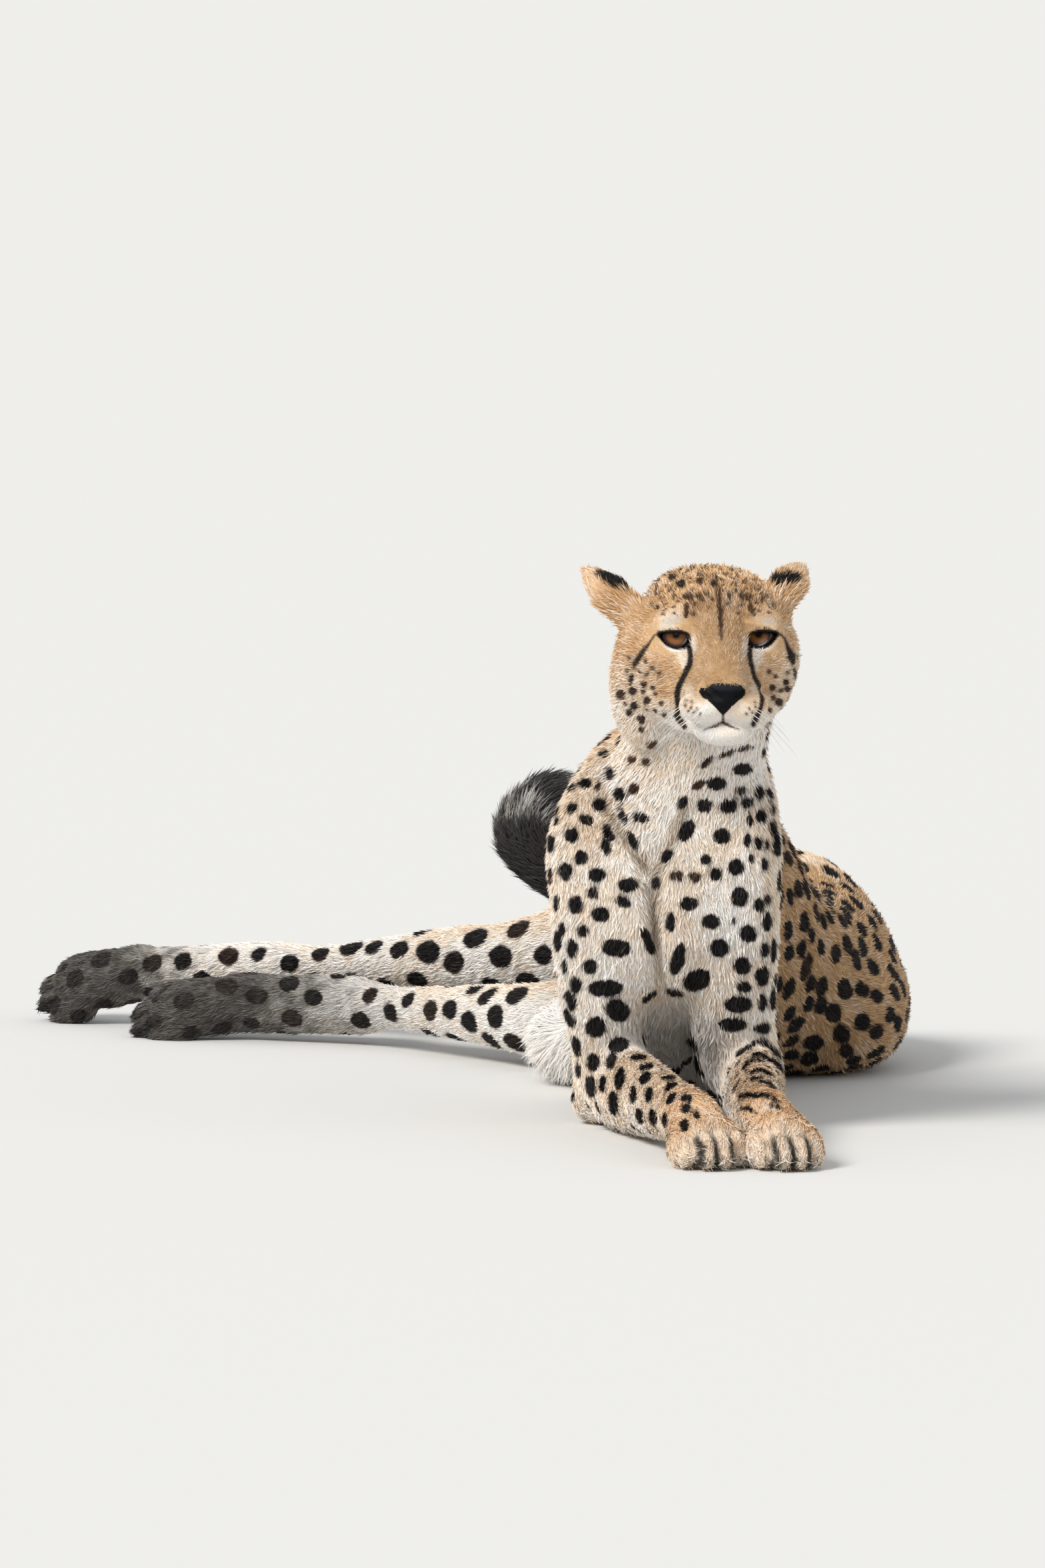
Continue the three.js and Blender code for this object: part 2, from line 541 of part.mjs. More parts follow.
/** Each piece: the space that it fills, the shapes in it, its mesh, and the pieces it makes room for. */
const PIECES = {
  ear_right: { block: earBlock(EARS.right), cell: 3.5, faces: 300, colour: COAT },
  ear_left: { block: earBlock(EARS.left), cell: 3.5, faces: 340, colour: COAT },
  head: {
    block: new Block(...bridge(THROAT_TO_NAPE.at, THROAT_TO_NAPE.up, 260), 170, 230, THROAT_TO_NAPE.across),
    cell: 5, faces: 2290, colour: COAT, clear: ['ear_right', 'ear_left'],
  },
  neck: {
    block: new Block(...bridge(NECK_ROOT.at, NECK_ROOT.up, 200), 150, 150, NECK_ROOT.across),
    cell: 10, faces: 330, colour: PALE_COAT, clear: ['head'],
  },
  forepaw_left: {
    block: pawBlock(LEFT_WRIST, PAW_TURN.left), shapes: [leftForeleg], cell: 4.5, faces: 440, colour: COAT,
  },
  forepaw_right: {
    block: pawBlock(RIGHT_WRIST, PAW_TURN.right), shapes: [rightForeleg], cell: 4.5, faces: 440, colour: COAT,
    clear: ['forepaw_left'],
  },
  forearm_left: {
    block: new Block([35, 420, 36], LEFT_WRIST, 34, 42), cell: 7, faces: 320, colour: COAT,
    clear: ['forepaw_left'],
  },
  forearm_right: {
    block: new Block([-96, 420, 36], RIGHT_WRIST, 36, 42), cell: 7, faces: 320, colour: COAT,
    clear: ['forepaw_right', 'forepaw_left'],
  },
  upper_arm_left: {
    block: new Block([34, 378, 40], [38, 318, 285], 34, 80, [0, 1, 0]), cell: 9, faces: 330,
    colour: PALE_COAT, clear: ['forearm_left', 'neck'],
  },
  upper_arm_right: {
    block: new Block([-86, 378, 40], [-112, 318, 285], 34, 80, [0, 1, 0]), cell: 9, faces: 330,
    colour: PALE_COAT, clear: ['forearm_right', 'neck'],
  },
  hind_foot_left: {
    block: new Block(...bridge(LEFT_HOCK, [-1, 0.3, 0], 270), 80, 80), shapes: [leftHindLeg],
    cell: 5, faces: 450, colour: DUSTY_FOOT,
  },
  shank_left: {
    block: new Block(LEFT_KNEE, between(LEFT_KNEE, LEFT_HOCK, 1.1), 60, 70), shapes: [leftHindLeg],
    cell: 7, faces: 280, colour: PALE_COAT, clear: ['hind_foot_left'],
  },
  thigh_left: {
    block: new Block([-20, 832, 44], between([-20, 832, 44], LEFT_KNEE, 1.3), 56, 52), cell: 10,
    faces: 260, colour: PALE_COAT, clear: ['shank_left'],
  },
  hind_foot_right: {
    block: new Block(...bridge(RIGHT_HOCK, [-1, 0.5, 0], 300), 80, 80), shapes: [rightHindLeg],
    cell: 5, faces: 450, colour: DUSTY_FOOT,
  },
  shank_right: {
    block: new Block(RIGHT_KNEE, between(RIGHT_KNEE, RIGHT_HOCK, 1.1), 60, 80), shapes: [rightHindLeg],
    cell: 7, faces: 280, colour: PALE_COAT, clear: ['hind_foot_right'],
  },
  thigh_right: {
    block: new Block([10, 908, 112], between([10, 908, 112], RIGHT_KNEE, 1.2), 80, 90), cell: 10,
    faces: 360, colour: COAT, clear: ['shank_right', 'thigh_left'],
  },
  tail_base: { block: new Block(...TAIL_CUTS.slice(0, 2), 60, 60), cell: 7, faces: 240, colour: COAT },
  tail_middle: {
    block: new Block(...TAIL_CUTS.slice(1, 3), 60, 60), cell: 7, faces: 240, colour: COAT,
    clear: ['tail_base'],
  },
  tail_tip: {
    block: new Block(...TAIL_CUTS.slice(2, 4), 70, 110), cell: 7, faces: 300, colour: DARK_TAIL,
    clear: ['tail_middle'],
  },
  chest: {
    block: new Block([MIDLINE, 190, 200], [MIDLINE, 505, 200], 180, 220), cell: 12, faces: 720,
    colour: PALE_COAT, clear: ['neck', 'upper_arm_right', 'upper_arm_left', 'forearm_right', 'forearm_left'],
  },
  abdomen: {
    block: new Block([0, 400, 150], [0, 705, 150], 260, 260), cell: 12, faces: 520, colour: COAT,
    clear: ['chest'],
  },
  pelvis: {
    block: new Block([0, 600, 150], [0, 1060, 150], 300, 220), cell: 11, faces: 760, colour: COAT,
    clear: ['abdomen', 'thigh_left', 'thigh_right', 'shank_left', 'tail_base'],
  },
};

const EYES = Object.fromEntries([['eye_right', -1], ['eye_left', 1]].map(([name, side]) => {
  return [name, inHead([side * EYE_HALF_SPACING, 0, 0])];
}));

function ball(centre, radius) {
  return new THREE.SphereGeometry(radius, 12, 9).translate(...centre);
}

function biggest(manifold) {
  return manifold.decompose().sort((a, b) => b.volume() - a.volume())[0];
}

async function carvePiece(name) {
  const { block, shapes = body, cell, faces, clear = [] } = PIECES[name];
  const [low, high] = block.bounds();
  const floor = Math.max(low[2], 0);
  const skin = skinOf(shapes, [low[0], low[1], floor].map((v) => v - cell), high.map((v) => v + cell), cell);
  let piece = solidOf(await thinned(skin, faces)).intersect(block.solid()).trimByPlane(UP, 0);
  for (const other of clear) piece = piece.subtract(PIECES[other].block.solid(SEAM));
  if (name === 'head') {
    for (const centre of Object.values(EYES)) piece = piece.subtract(solidOf(ball(centre, SOCKET_RADIUS)));
  }
  return biggest(piece);
}

function finish(colour, roughness) {
  return new THREE.MeshStandardMaterial({ color: colour, roughness, metalness: 0 });
}

const cheetah = new THREE.Group();
for (const name of Object.keys(PIECES)) {
  const mesh = new THREE.Mesh(geometryOf(await carvePiece(name)), finish(PIECES[name].colour, 0.9));
  mesh.name = name;
  cheetah.add(mesh);
}
for (const [name, centre] of Object.entries(EYES)) {
  const mesh = new THREE.Mesh(ball([0, 0, 0], EYE_RADIUS), finish(AMBER, 0.1));
  mesh.name = name;
  mesh.position.set(...centre);
  cheetah.add(mesh);
}

// The origin is the middle of the footprint, on the floor.
const box = new THREE.Box3().setFromObject(cheetah, true);
cheetah.position.set(-(box.min.x + box.max.x) / 2, -(box.min.y + box.max.y) / 2, -box.min.z);

export default cheetah;
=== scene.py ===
import math

import bpy
import numpy as np
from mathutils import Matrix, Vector, kdtree


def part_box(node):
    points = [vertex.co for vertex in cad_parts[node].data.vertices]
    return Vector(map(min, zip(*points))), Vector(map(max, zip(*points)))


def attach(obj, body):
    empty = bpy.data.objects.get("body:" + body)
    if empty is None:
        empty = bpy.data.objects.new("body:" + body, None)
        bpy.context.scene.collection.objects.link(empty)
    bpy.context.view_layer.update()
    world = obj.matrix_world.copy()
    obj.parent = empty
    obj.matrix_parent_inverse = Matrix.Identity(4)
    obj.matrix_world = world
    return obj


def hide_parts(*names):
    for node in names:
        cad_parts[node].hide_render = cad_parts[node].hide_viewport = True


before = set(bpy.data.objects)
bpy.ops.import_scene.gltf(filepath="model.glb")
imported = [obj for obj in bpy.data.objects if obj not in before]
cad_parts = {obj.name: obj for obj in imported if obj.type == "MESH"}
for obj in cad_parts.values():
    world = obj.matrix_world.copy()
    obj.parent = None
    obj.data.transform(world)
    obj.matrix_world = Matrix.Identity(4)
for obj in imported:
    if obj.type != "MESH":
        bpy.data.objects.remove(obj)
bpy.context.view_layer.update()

# A resting cheetah as a life-size museum model. Its body is one smooth shape made of ovals that melt
# into each other, in millimetres: x to the animal's left, y towards its tail, z up, floor at 0.
# The skin is that shape less the coat's depth, and the coat is many thin solid tufts over the skin.

MM = 0.001
SEED = 11
rng = np.random.default_rng(SEED)


# ------------------------------------------------------------------ vectors
def vec(*v):
    return np.array(v, float)


def unit(v):
    v = np.asarray(v, float)
    return v / np.maximum(np.linalg.norm(v, axis=-1, keepdims=True), 1e-9)


def dot(a, b):
    return (a * b).sum(-1)


def smooth(low, high, x):
    """0 below low, 1 above high, with a soft step between; low may be the greater."""
    t = np.clip((x - low) / (high - low), 0, 1)
    return t * t * (3 - 2 * t)


def mix(a, b, t):
    return a + (b - a) * t


UP, LEFT = vec(0, 0, 1), vec(1, 0, 0)


# ------------------------------------------------------------------ soft solids
FAR = 60.0      # the distance given where nothing is near
REACH = 30.0    # how far from a shape it can still matter
CORE = 0.05     # nearer the middle than this share of the way out, a shape gives its own thickness
TINY = 1e-3     # keeps divisions from failing


def join(a, b, blend):
    """Distance from two solids together, with a fillet about as wide as blend."""
    h = np.maximum(blend - np.abs(a - b), 0) / blend
    return np.minimum(a, b) - h * h * blend / 4


def carve(a, b, blend):
    """Distance from solid a once solid b is cut out of it."""
    return -join(-a, b, blend)


def melt(shapes, p):
    """Joins shapes in order at points p; a shape marked cut is hollowed out instead."""
    d = np.full(len(p), FAR)
    for s in shapes:
        margin = REACH + s.blend
        near = np.all((p > s.low - margin) & (p < s.high + margin), axis=1)
        if near.any():
            other = s.distance(p[near])
            d[near] = carve(d[near], other, s.blend) if s.cut else join(d[near], other, s.blend)
    return d


class Egg:
    """An ellipsoid; a power over 2 makes it boxier."""

    def __init__(self, centre, half, blend=12, power=2.0, cut=False):
        self.centre, self.half = vec(*centre), vec(*half)
        self.blend, self.power, self.cut = blend, power, cut
        self.low, self.high = self.centre - self.half, self.centre + self.half

    def distance(self, p):
        q = p - self.centre
        r = (np.abs(q / self.half) ** self.power).sum(1) ** (1 / self.power)
        r = np.maximum(r, TINY)
        return np.where(r < CORE, -self.half.min(), np.linalg.norm(q, axis=1) * (1 - 1 / r))


def spline(values, steps):
    """A smooth run through values, Catmull-Rom, with steps samples to a span."""
    v = np.asarray(values, float)
    v = v[:, None] if v.ndim == 1 else v
    v = np.vstack([2 * v[0] - v[1], v, 2 * v[-1] - v[-2]])
    t = np.arange(steps)[:, None] / steps
    out = []
    for k in range(len(v) - 3):
        a, b, c, d = v[k:k + 4]
        bend = (2 * a - 5 * b + 4 * c - d) * t ** 2 + (3 * b - a - 3 * c + d) * t ** 3
        out.append(0.5 * (2 * b + (c - a) * t + bend))
    out = np.vstack(out + [v[-2:-1]])
    return out if out.shape[1] > 1 else out[:, 0]


class Sleeve:
    """Oval sections along a smooth line. A station is (point, half width, half depth, depth direction)."""

    def __init__(self, stations, blend=12, steps=4, cut=False):
        self.blend, self.cut = blend, cut
        self.points = spline([s[0] for s in stations], steps)
        self.widths = spline([s[1] for s in stations], steps)
        self.depths = spline([s[2] for s in stations], steps)
        self.tangents = unit(np.gradient(self.points, axis=0))
        ups = spline([s[3] for s in stations], steps)
        self.ups = unit(ups - dot(ups, self.tangents)[:, None] * self.tangents)
        self.sides = np.cross(self.tangents, self.ups)
        widest = np.maximum(self.widths, self.depths)[:, None]
        self.low, self.high = (self.points - widest).min(0), (self.points + widest).max(0)

    def place(self, p):
        """The segment, and the share of it, where the plane across the line passes through each point."""
        near = ((self.points ** 2).sum(1) - 2 * p @ self.points.T).argmin(1)
        ahead = dot(p - self.points[near], self.tangents[near]) >= 0
        i = np.clip(np.where(ahead, near, near - 1), 0, len(self.points) - 2)
        before = dot(p - self.points[i], self.tangents[i])
        after = dot(self.points[i + 1] - p, self.tangents[i + 1])
        total = before + after
        good = total > 1e-6
        return i, np.clip(np.where(good, before / np.where(good, total, 1), 0.5), 0, 1)

    def at(self, values, i, t):
        t = t[:, None] if values.ndim > 1 else t
        return values[i] + (values[i + 1] - values[i]) * t

    def distance(self, p):
        i, t = self.place(p)
        off = p - self.at(self.points, i, t)
        x, z = dot(off, self.at(self.sides, i, t)), dot(off, self.at(self.ups, i, t))
        w, d = self.at(self.widths, i, t), self.at(self.depths, i, t)
        square = dot(off, off)
        rest = np.maximum(square - x * x - z * z, 0)
        thin = np.minimum(w, d)
        r = np.maximum(np.sqrt((x / w) ** 2 + (z / d) ** 2 + rest / thin ** 2), TINY)
        return np.where(r < CORE, -thin, np.sqrt(square) * (1 - 1 / r))

    def along(self, p):
        """Share of the way along the line at each point."""
        i, t = self.place(p)
        return (i + t) / (len(self.points) - 1)

    def heading(self, p):
        i, t = self.place(p)
        return unit(self.at(self.tangents, i, t))

    def height(self, p):
        """1 on the side that the depth direction points to, -1 on the other."""
        i, t = self.place(p)
        off = unit(p - self.at(self.points, i, t))
        return dot(off, self.at(self.ups, i, t))


class Cluster:
    """Shapes in a frame of their own. With a root, it melts into the rest only near that point."""

    def __init__(self, shapes, origin=(0, 0, 0), axes=None, blend=4, root=None):
        self.shapes, self.origin = shapes, vec(*origin)
        self.axes = np.eye(3) if axes is None else np.asarray(axes, float)
        self.blend, self.root, self.cut = blend, root, False
        solid = [s for s in shapes if not s.cut]
        low, high = np.min([s.low for s in solid], 0), np.max([s.high for s in solid], 0)
        middle = self.outside((low + high)[None] / 2)[0]
        reach = np.abs(self.axes.T) @ ((high - low) / 2)
        self.low, self.high = middle - reach, middle + reach

    def inside(self, p):
        return (p - self.origin) @ self.axes.T

    def outside(self, q):
        return q @ self.axes + self.origin

    def distance(self, p):
        return melt(self.shapes, self.inside(p))

    def blend_at(self, p):
        if self.root is None:
            return self.blend
        at, reach = self.root
        away = np.linalg.norm(p - vec(*at), axis=1) / reach
        return np.maximum(self.blend * (1 - smooth(0.6, 1, away)), 1.5)


def facing(forward, up):
    """Side, forward and up directions of something that faces one way."""
    f = unit(forward)
    side = unit(np.cross(up, f))
    return np.array([side, f, np.cross(f, side)])


def both(make):
    return [make(-1), make(1)]


# ------------------------------------------------------------------ driving dimensions
MIDLINE = -38
EYE_LEVEL = (10, 200, 435)
HEAD_YAW, HEAD_PITCH = math.radians(5.5), math.radians(-4)
EYE_HALF_SPACING, EYE_RADIUS = 36, 15.6

RIGHT_ELBOW, RIGHT_WRIST = vec(-82, 362, 38), vec(-17, 115, 36)
LEFT_ELBOW, LEFT_WRIST = vec(38, 362, 38), vec(49, 111, 36)
FOREPAW = dict(length=104, width=61, height=52, toe=12.5)
RIGHT_PAW_TURN, LEFT_PAW_TURN = 0.26, 0.24
LEFT_HIP, LEFT_KNEE = vec(70, 840, 60), vec(-135, 815, 44)
LEFT_HOCK, LEFT_TOE_ROOT = vec(-312, 1012, 36), vec(-414, 1058, 33)
RIGHT_HIP, RIGHT_KNEE = vec(75, 880, 126), vec(-165, 985, 84)
RIGHT_HOCK, RIGHT_TOE_ROOT = vec(-385, 1110, 60), vec(-512, 1180, 47)
HIND_PAW = dict(length=100, width=62, height=52, toe=12)


# ------------------------------------------------------------------ trunk, neck and legs
def leaning(degrees):
    """The back's direction, rolled from straight up towards the animal's left."""
    return vec(math.sin(math.radians(degrees)), 0, math.cos(math.radians(degrees)))


SPINE = Sleeve([
    ((MIDLINE, 300, 200), 62, 84, leaning(0)),
    ((MIDLINE, 380, 194), 80, 138, leaning(0)),
    ((-38, 480, 174), 81, 150, leaning(3)),
    ((-25, 580, 144), 83, 146, leaning(17)),
    ((2, 680, 109), 89, 116, leaning(44)),
    ((42, 765, 86), 86, 104, leaning(70)),
    ((74, 850, 85), 87, 96, leaning(80)),
    ((82, 925, 82), 82, 80, leaning(80)),
    ((82, 965, 78), 62, 56, leaning(80)),
], blend=10, steps=8)


def trunk():
    breasts = [Egg((-78, 296, 198), (42, 42, 78), blend=28), Egg((10, 296, 198), (44, 42, 78), blend=28)]
    columns = [
        Sleeve([((x, 300, 225), w - 2, 42, (0, 1, 0)), ((x, 304, 170), w, 45, (0, 1, 0.05)),
                ((x + t, 320, 112), w - 3, 44, (0, 1, 0.2)),
                ((x + 2 * t, 346, 66), w - 10, 34, (0, 1, 0.4))], blend=16)
        for x, w, t in ((-85, 37, 2), (19, 40, -1))]
    groove = Sleeve([((-51, 252, 236), 4, 7, (0, 1, 0)), ((-47, 247, 208), 5, 11, (0, 1, 0)),
                     ((-43, 248, 174), 5, 14, (0, 1, 0)), ((-40, 255, 144), 6, 17, (0, 1, 0)),
                     ((-36, 272, 112), 9, 20, (0, 1, 0.4)), ((-34, 302, 86), 12, 20, (0, 1, 1))],
                    blend=14, cut=True)
    creases = [
        Sleeve([((-76, 270, 292), 2, 3, (0, 1, 0)), ((-64, 256, 262), 3.5, 7, (0, 1, 0)),
                ((-52, 249, 236), 4, 8, (0, 1, 0))], blend=12, cut=True),
        Sleeve([((-10, 264, 306), 2, 3, (0, 1, 0)), ((-25, 252, 266), 3.5, 7, (0, 1, 0)),
                ((-49, 248, 234), 4, 8, (0, 1, 0))], blend=12, cut=True)]
    haunch = Egg((102, 826, 50), (78, 118, 54), blend=34, power=2.3)
    brisket = Egg((-14, 474, 32), (44, 62, 36), blend=26)
    belly = [Egg((-62, 618, 40), (54, 84, 52), blend=30), Egg((-92, 706, 36), (70, 82, 46), blend=30)]
    return Cluster([SPINE, *breasts, *columns, haunch, brisket, *belly, groove, *creases], blend=10)


NECK = Sleeve([
    ((-37, 378, 232), 84, 98, (0, 0.7, 0.7)),
    ((-21, 342, 292), 72, 80, (0, 0.85, 0.5)),
    ((-6, 312, 346), 61, 66, (0, 0.95, 0.3)),
    ((4, 292, 392), 62, 62, (0, 1, 0.1)),
    ((8, 280, 424), 52, 54, (0, 1, 0)),
], blend=24, steps=8)


def shoulder(side, blade, arm):
    """Shoulder blade, upper arm and point of the elbow. blade is how far out its three places lie."""
    out = [MIDLINE + side * b for b in blade]
    top, middle, bottom = arm
    return Cluster([
        Sleeve([
            ((out[0], 430, 322), 15, 36, (0, 0.6, -0.8)),
            ((out[1], 388, 296), 24, 46, (0, 0.7, -0.7)),
            ((out[2], 322, 252), 27, 48, (0, 0.9, -0.5)),
            ((top, 312, 200), 30, 48, (0, 1, 0)),
            ((middle, 332, 130), 30, 50, (0, 1, 0.2)),
            ((bottom, 362, 60), 27, 40, (0, 1, 0.2)),
        ], steps=7),
        Egg((bottom, 388, 42), (22, 24, 36), blend=16),
    ], blend=20)


TOES = ((-1.5, 0.86), (-0.52, 1), (0.52, 1), (1.5, 0.86))   # place across, reach
TOE_STEP = 0.235     # from one toe to the next, as a share of the paw's width
TOE_SPREAD = 1.04    # how much farther apart the toes' tips are


def paw(length, width, height, toe, sole=False):
    """A paw with four toes; its origin is the joint above it and it points along its own y."""
    shapes = [Sleeve([
        ((0, -6, 0), width * 0.30, height * 0.46, UP),
        ((0, length * 0.35, -height * 0.12), width * 0.42, height * 0.48, UP),
        ((0, length * 0.62, -height * 0.24), width * 0.45, height * 0.43, UP),
    ], blend=10)]
    if sole:
        pad = (width * 0.4, length * 0.36, height * 0.28)
        shapes.append(Egg((0, length * 0.24, -height * 0.36), pad, blend=10))
    for place, reach in TOES:
        x = place * width * TOE_STEP
        shapes.append(Sleeve([
            ((x * 0.8, length * 0.45, -height * 0.14), toe * 0.95, toe * 1.1, UP),
            ((x, length * 0.70 * reach, -height * 0.33), toe, toe * 1.5, UP),
            ((x * TOE_SPREAD, length * 0.88 * reach, -height * 0.41), toe * 0.97, toe * 1.25, UP),
            ((x * TOE_SPREAD, length * 0.97 * reach, -height * 0.49), toe * 0.74, toe * 0.9, UP),
        ], blend=4))
    return shapes


def foreleg(elbow, wrist, turn, point=None):
    """Forearm and paw; point is where the elbow rests on the floor, if it needs a lump there."""
    sections = [(-0.04, 26, 37), (0.2, 28, 40), (0.5, 25, 35), (0.8, 21, 29), (1, 21, 25), (1.1, 22, 24)]
    arm = Sleeve([(mix(elbow, wrist, t), w, d, UP) for t, w, d in sections], blend=18)
    hand = Cluster(paw(**FOREPAW), wrist, facing((turn, -1, 0), UP), blend=10)
    resting = [Egg(point, (19, 24, 19), blend=12)] if point else []
    leg = Cluster([arm, *resting, hand], blend=22, root=(elbow, 130))
    leg.bone, leg.paw = arm, hand
    return leg


def hind_leg(hip, knee, hock, toe_root, sizes, paw_forward, paw_up):
    """Thigh, shank and long foot; sizes are half width and half depth at eight places down the leg."""
    places = [hip, mix(hip, knee, 0.5), knee, mix(knee, hock, 0.3), mix(knee, hock, 0.78), hock,
              mix(hock, toe_root, 0.5), toe_root]
    bone = Sleeve([(p, w, d, (0, -0.3, 1)) for p, (w, d) in zip(places, sizes)], blend=14, steps=6)
    axes = facing(paw_forward, paw_up)
    foot = Cluster(paw(**HIND_PAW, sole=True), toe_root + 9 * axes[2], axes, blend=8)
    leg = Cluster([bone, foot], blend=26, root=(hip, 300))
    leg.bone, leg.paw = bone, foot
    return leg


TAIL = Sleeve([(point, r, r, UP) for point, r in [
    ((120, 930, 104), 34), ((128, 1000, 66), 27), ((108, 1078, 30), 25), ((40, 1150, 27), 26),
    ((-40, 1188, 54), 28), ((-104, 1203, 120), 33), ((-157, 1207, 168), 37), ((-143, 1210, 198), 33),
    ((-112, 1212, 204), 25)]], blend=16, steps=5)


# ------------------------------------------------------------------ head
# In the head's own frame: x to the animal's left, y forward, z up, origin between the eyeballs.
def outline_distance(u, v, outline):
    """Signed distance in a plane from a closed outline, less than 0 inside."""
    p = np.stack([u, v], 1)
    inside, near = np.zeros(len(p), bool), np.full(len(p), FAR)
    for a, b in zip(outline, np.roll(outline, -1, 0)):
        t = np.clip((p - a) @ (b - a) / max((b - a) @ (b - a), 1e-9), 0, 1)
        near = np.minimum(near, np.linalg.norm(p - a - t[:, None] * (b - a), axis=1))
        rises = (a[1] > p[:, 1]) != (b[1] > p[:, 1])
        level = b[1] - a[1] if b[1] != a[1] else 1e-9
        inside ^= rises & (p[:, 0] < a[0] + (p[:, 1] - a[1]) * (b[0] - a[0]) / level)
    return np.where(inside, -near, near)


def closed_curve(points, steps=3):
    """A smooth closed outline through points."""
    v = np.array(points, float)
    ring = spline(np.vstack([v[-2:], v, v[:2]]), steps)
    return ring[2 * steps:(2 + len(v)) * steps]


class Opening:
    """An eye opening, cut straight back from the front. Its outline is (outwards, up) from the iris."""

    OUTLINE = closed_curve([(13.7, 3.2), (10.9, 5.0), (5.9, 5.9), (0, 6.2), (-5.3, 5.7), (-8.9, 4.0),
                            (-10.4, 0.8), (-11.0, -4.6), (-8.2, -6.3), (-4.6, -6.7), (1, -6.5),
                            (6.3, -5.0), (10.9, -1.4)])
    ASIDE = 1.3      # both openings sit this far to the animal's right of the eyeballs
    FRONT, BACK = 34, 4

    def __init__(self, side, blend=1.2):
        self.side, self.blend, self.cut = side, blend, True
        middle = vec(side * EYE_HALF_SPACING, (self.FRONT + self.BACK) / 2, 0)
        self.low, self.high = middle - vec(17, 15, 14), middle + vec(17, 15, 14)

    def flat_distance(self, p):
        """Signed distance from the opening's edge, seen from the front."""
        outwards = (p[:, 0] + self.ASIDE) * self.side - EYE_HALF_SPACING
        return outline_distance(outwards, p[:, 2], self.OUTLINE)

    def distance(self, p):
        return np.maximum(self.flat_distance(p), np.maximum(self.BACK - p[:, 1], p[:, 1] - self.FRONT))


OPENINGS = both(Opening)
NOSE_PAD = [Egg((0, 67, -34), (18, 9.5, 8), blend=4), Egg((0, 69, -43), (11.5, 8.5, 9.5), blend=5)]


def skull_shapes():
    return [
        Egg((0, -74, 0), (60, 68, 50), blend=10, power=2.4),                               # braincase
        Egg((0, -22, 20), (46, 38, 27), blend=20),                                         # forehead
        Egg((-49, -40, -24), (37, 44, 42), blend=24),                                      # cheeks
        Egg((42, -40, -24), (33, 44, 42), blend=24),
        Egg((-57, -64, -56), (31, 36, 50), blend=18),                                      # ruff
        Egg((34, -58, -50), (27, 36, 36), blend=18),
        Sleeve([((0, -30, -14), 60, 46, UP), ((0, 2, -17), 49, 34, UP), ((0, 26, -30), 38, 28, UP),
                ((0, 48, -42), 30, 21, UP), ((0, 58, -47), 24, 15, UP)], blend=14),        # upper jaw
        Sleeve([((0, -8, 12), 24, 18, UP), ((0, 22, 2), 20, 15, UP), ((0, 46, -16), 17.5, 12.5, UP),
                ((0, 64, -30), 15.5, 9.5, UP)], blend=10),                                 # bridge
        *both(lambda m: Egg((m * 45, -6, -24), (20, 24, 17), blend=18)),                   # cheekbones
        *both(lambda m: Egg((m * 38, -12, -50), (24, 36, 22), blend=18)),                  # lower cheeks
        *both(lambda m: Egg((m * 33, 0, 14), (21, 14, 9), blend=14)),                      # brows
        *both(lambda m: Sleeve([((m * 40, -44, -58), 15, 20, UP), ((m * 30, -4, -67), 13, 13, UP),
                                ((m * 13, 34, -72), 11, 9, UP)], blend=12)),               # lower jaw
        Egg((0, -14, -60), (40, 50, 24), blend=16),                                        # throat
        Egg((1, 46, -74), (25, 20, 13), blend=8),                                          # chin
        *both(lambda m: Egg((m * 18, 51, -52), (20, 22, 14.5), blend=7)),                  # whisker pads
        *NOSE_PAD,
        *both(lambda m: Egg((m * EYE_HALF_SPACING, 0, 0), (20, 19.6, 19.5), blend=6)),     # eyelids
        *both(lambda m: Egg((m * 23.5, 15, -7), (4.5, 6.5, 7), blend=7, cut=True)),        # inner corners
        *both(lambda m: Sleeve([((m * 22, 16, 16), 2, 2, UP), ((m * 34, 18, 15), 2.5, 2.2, UP),
                                ((m * 44, 15.5, 12.5), 2, 2, UP)], blend=5, cut=True)),    # lid folds
        *OPENINGS,
        *both(lambda m: Egg((m * EYE_HALF_SPACING, 0, 0), (15.8, 15.8, 15.8), blend=0.6, cut=True)),
        *both(lambda m: Sleeve([((m * 5.5, 78, -41), 2.6, 3.0, UP), ((m * 10, 75, -38.5), 3.3, 3.2, UP),
                                ((m * 15, 70, -34.5), 1.9, 2.2, UP), ((m * 18, 64, -32), 1.0, 1.4, UP)],
                               blend=1.6, cut=True)),                                      # nostrils
        Sleeve([((0, 79, -47), 0.8, 0.8, UP), ((0, 76, -54), 0.9, 0.9, UP), ((0, 72, -61), 1.1, 1.1, UP)],
               blend=3, cut=True),                                                         # philtrum
        *both(lambda m: Sleeve([((0, 73.5, -61), 1.3, 1.5, UP), ((m * 9, 71, -64), 1.3, 1.4, UP),
                                ((m * 19, 62, -67), 1.2, 1.3, UP), ((m * 28, 47, -69), 1.2, 1.2, UP),
                                ((m * 33, 33, -68), 1.0, 1.0, UP)], blend=3, cut=True)),   # lips
    ]


EARS = {
    -1: dict(root=vec(-74, -62, 16), tip=vec(-106, -89, 44), across=(-0.55, 0.15, -0.8)),
    1: dict(root=vec(60, -66, 25), tip=vec(82, -100, 46), across=(0.9, 0.1, -0.45)),
}
EAR_WIDTH = 17.5


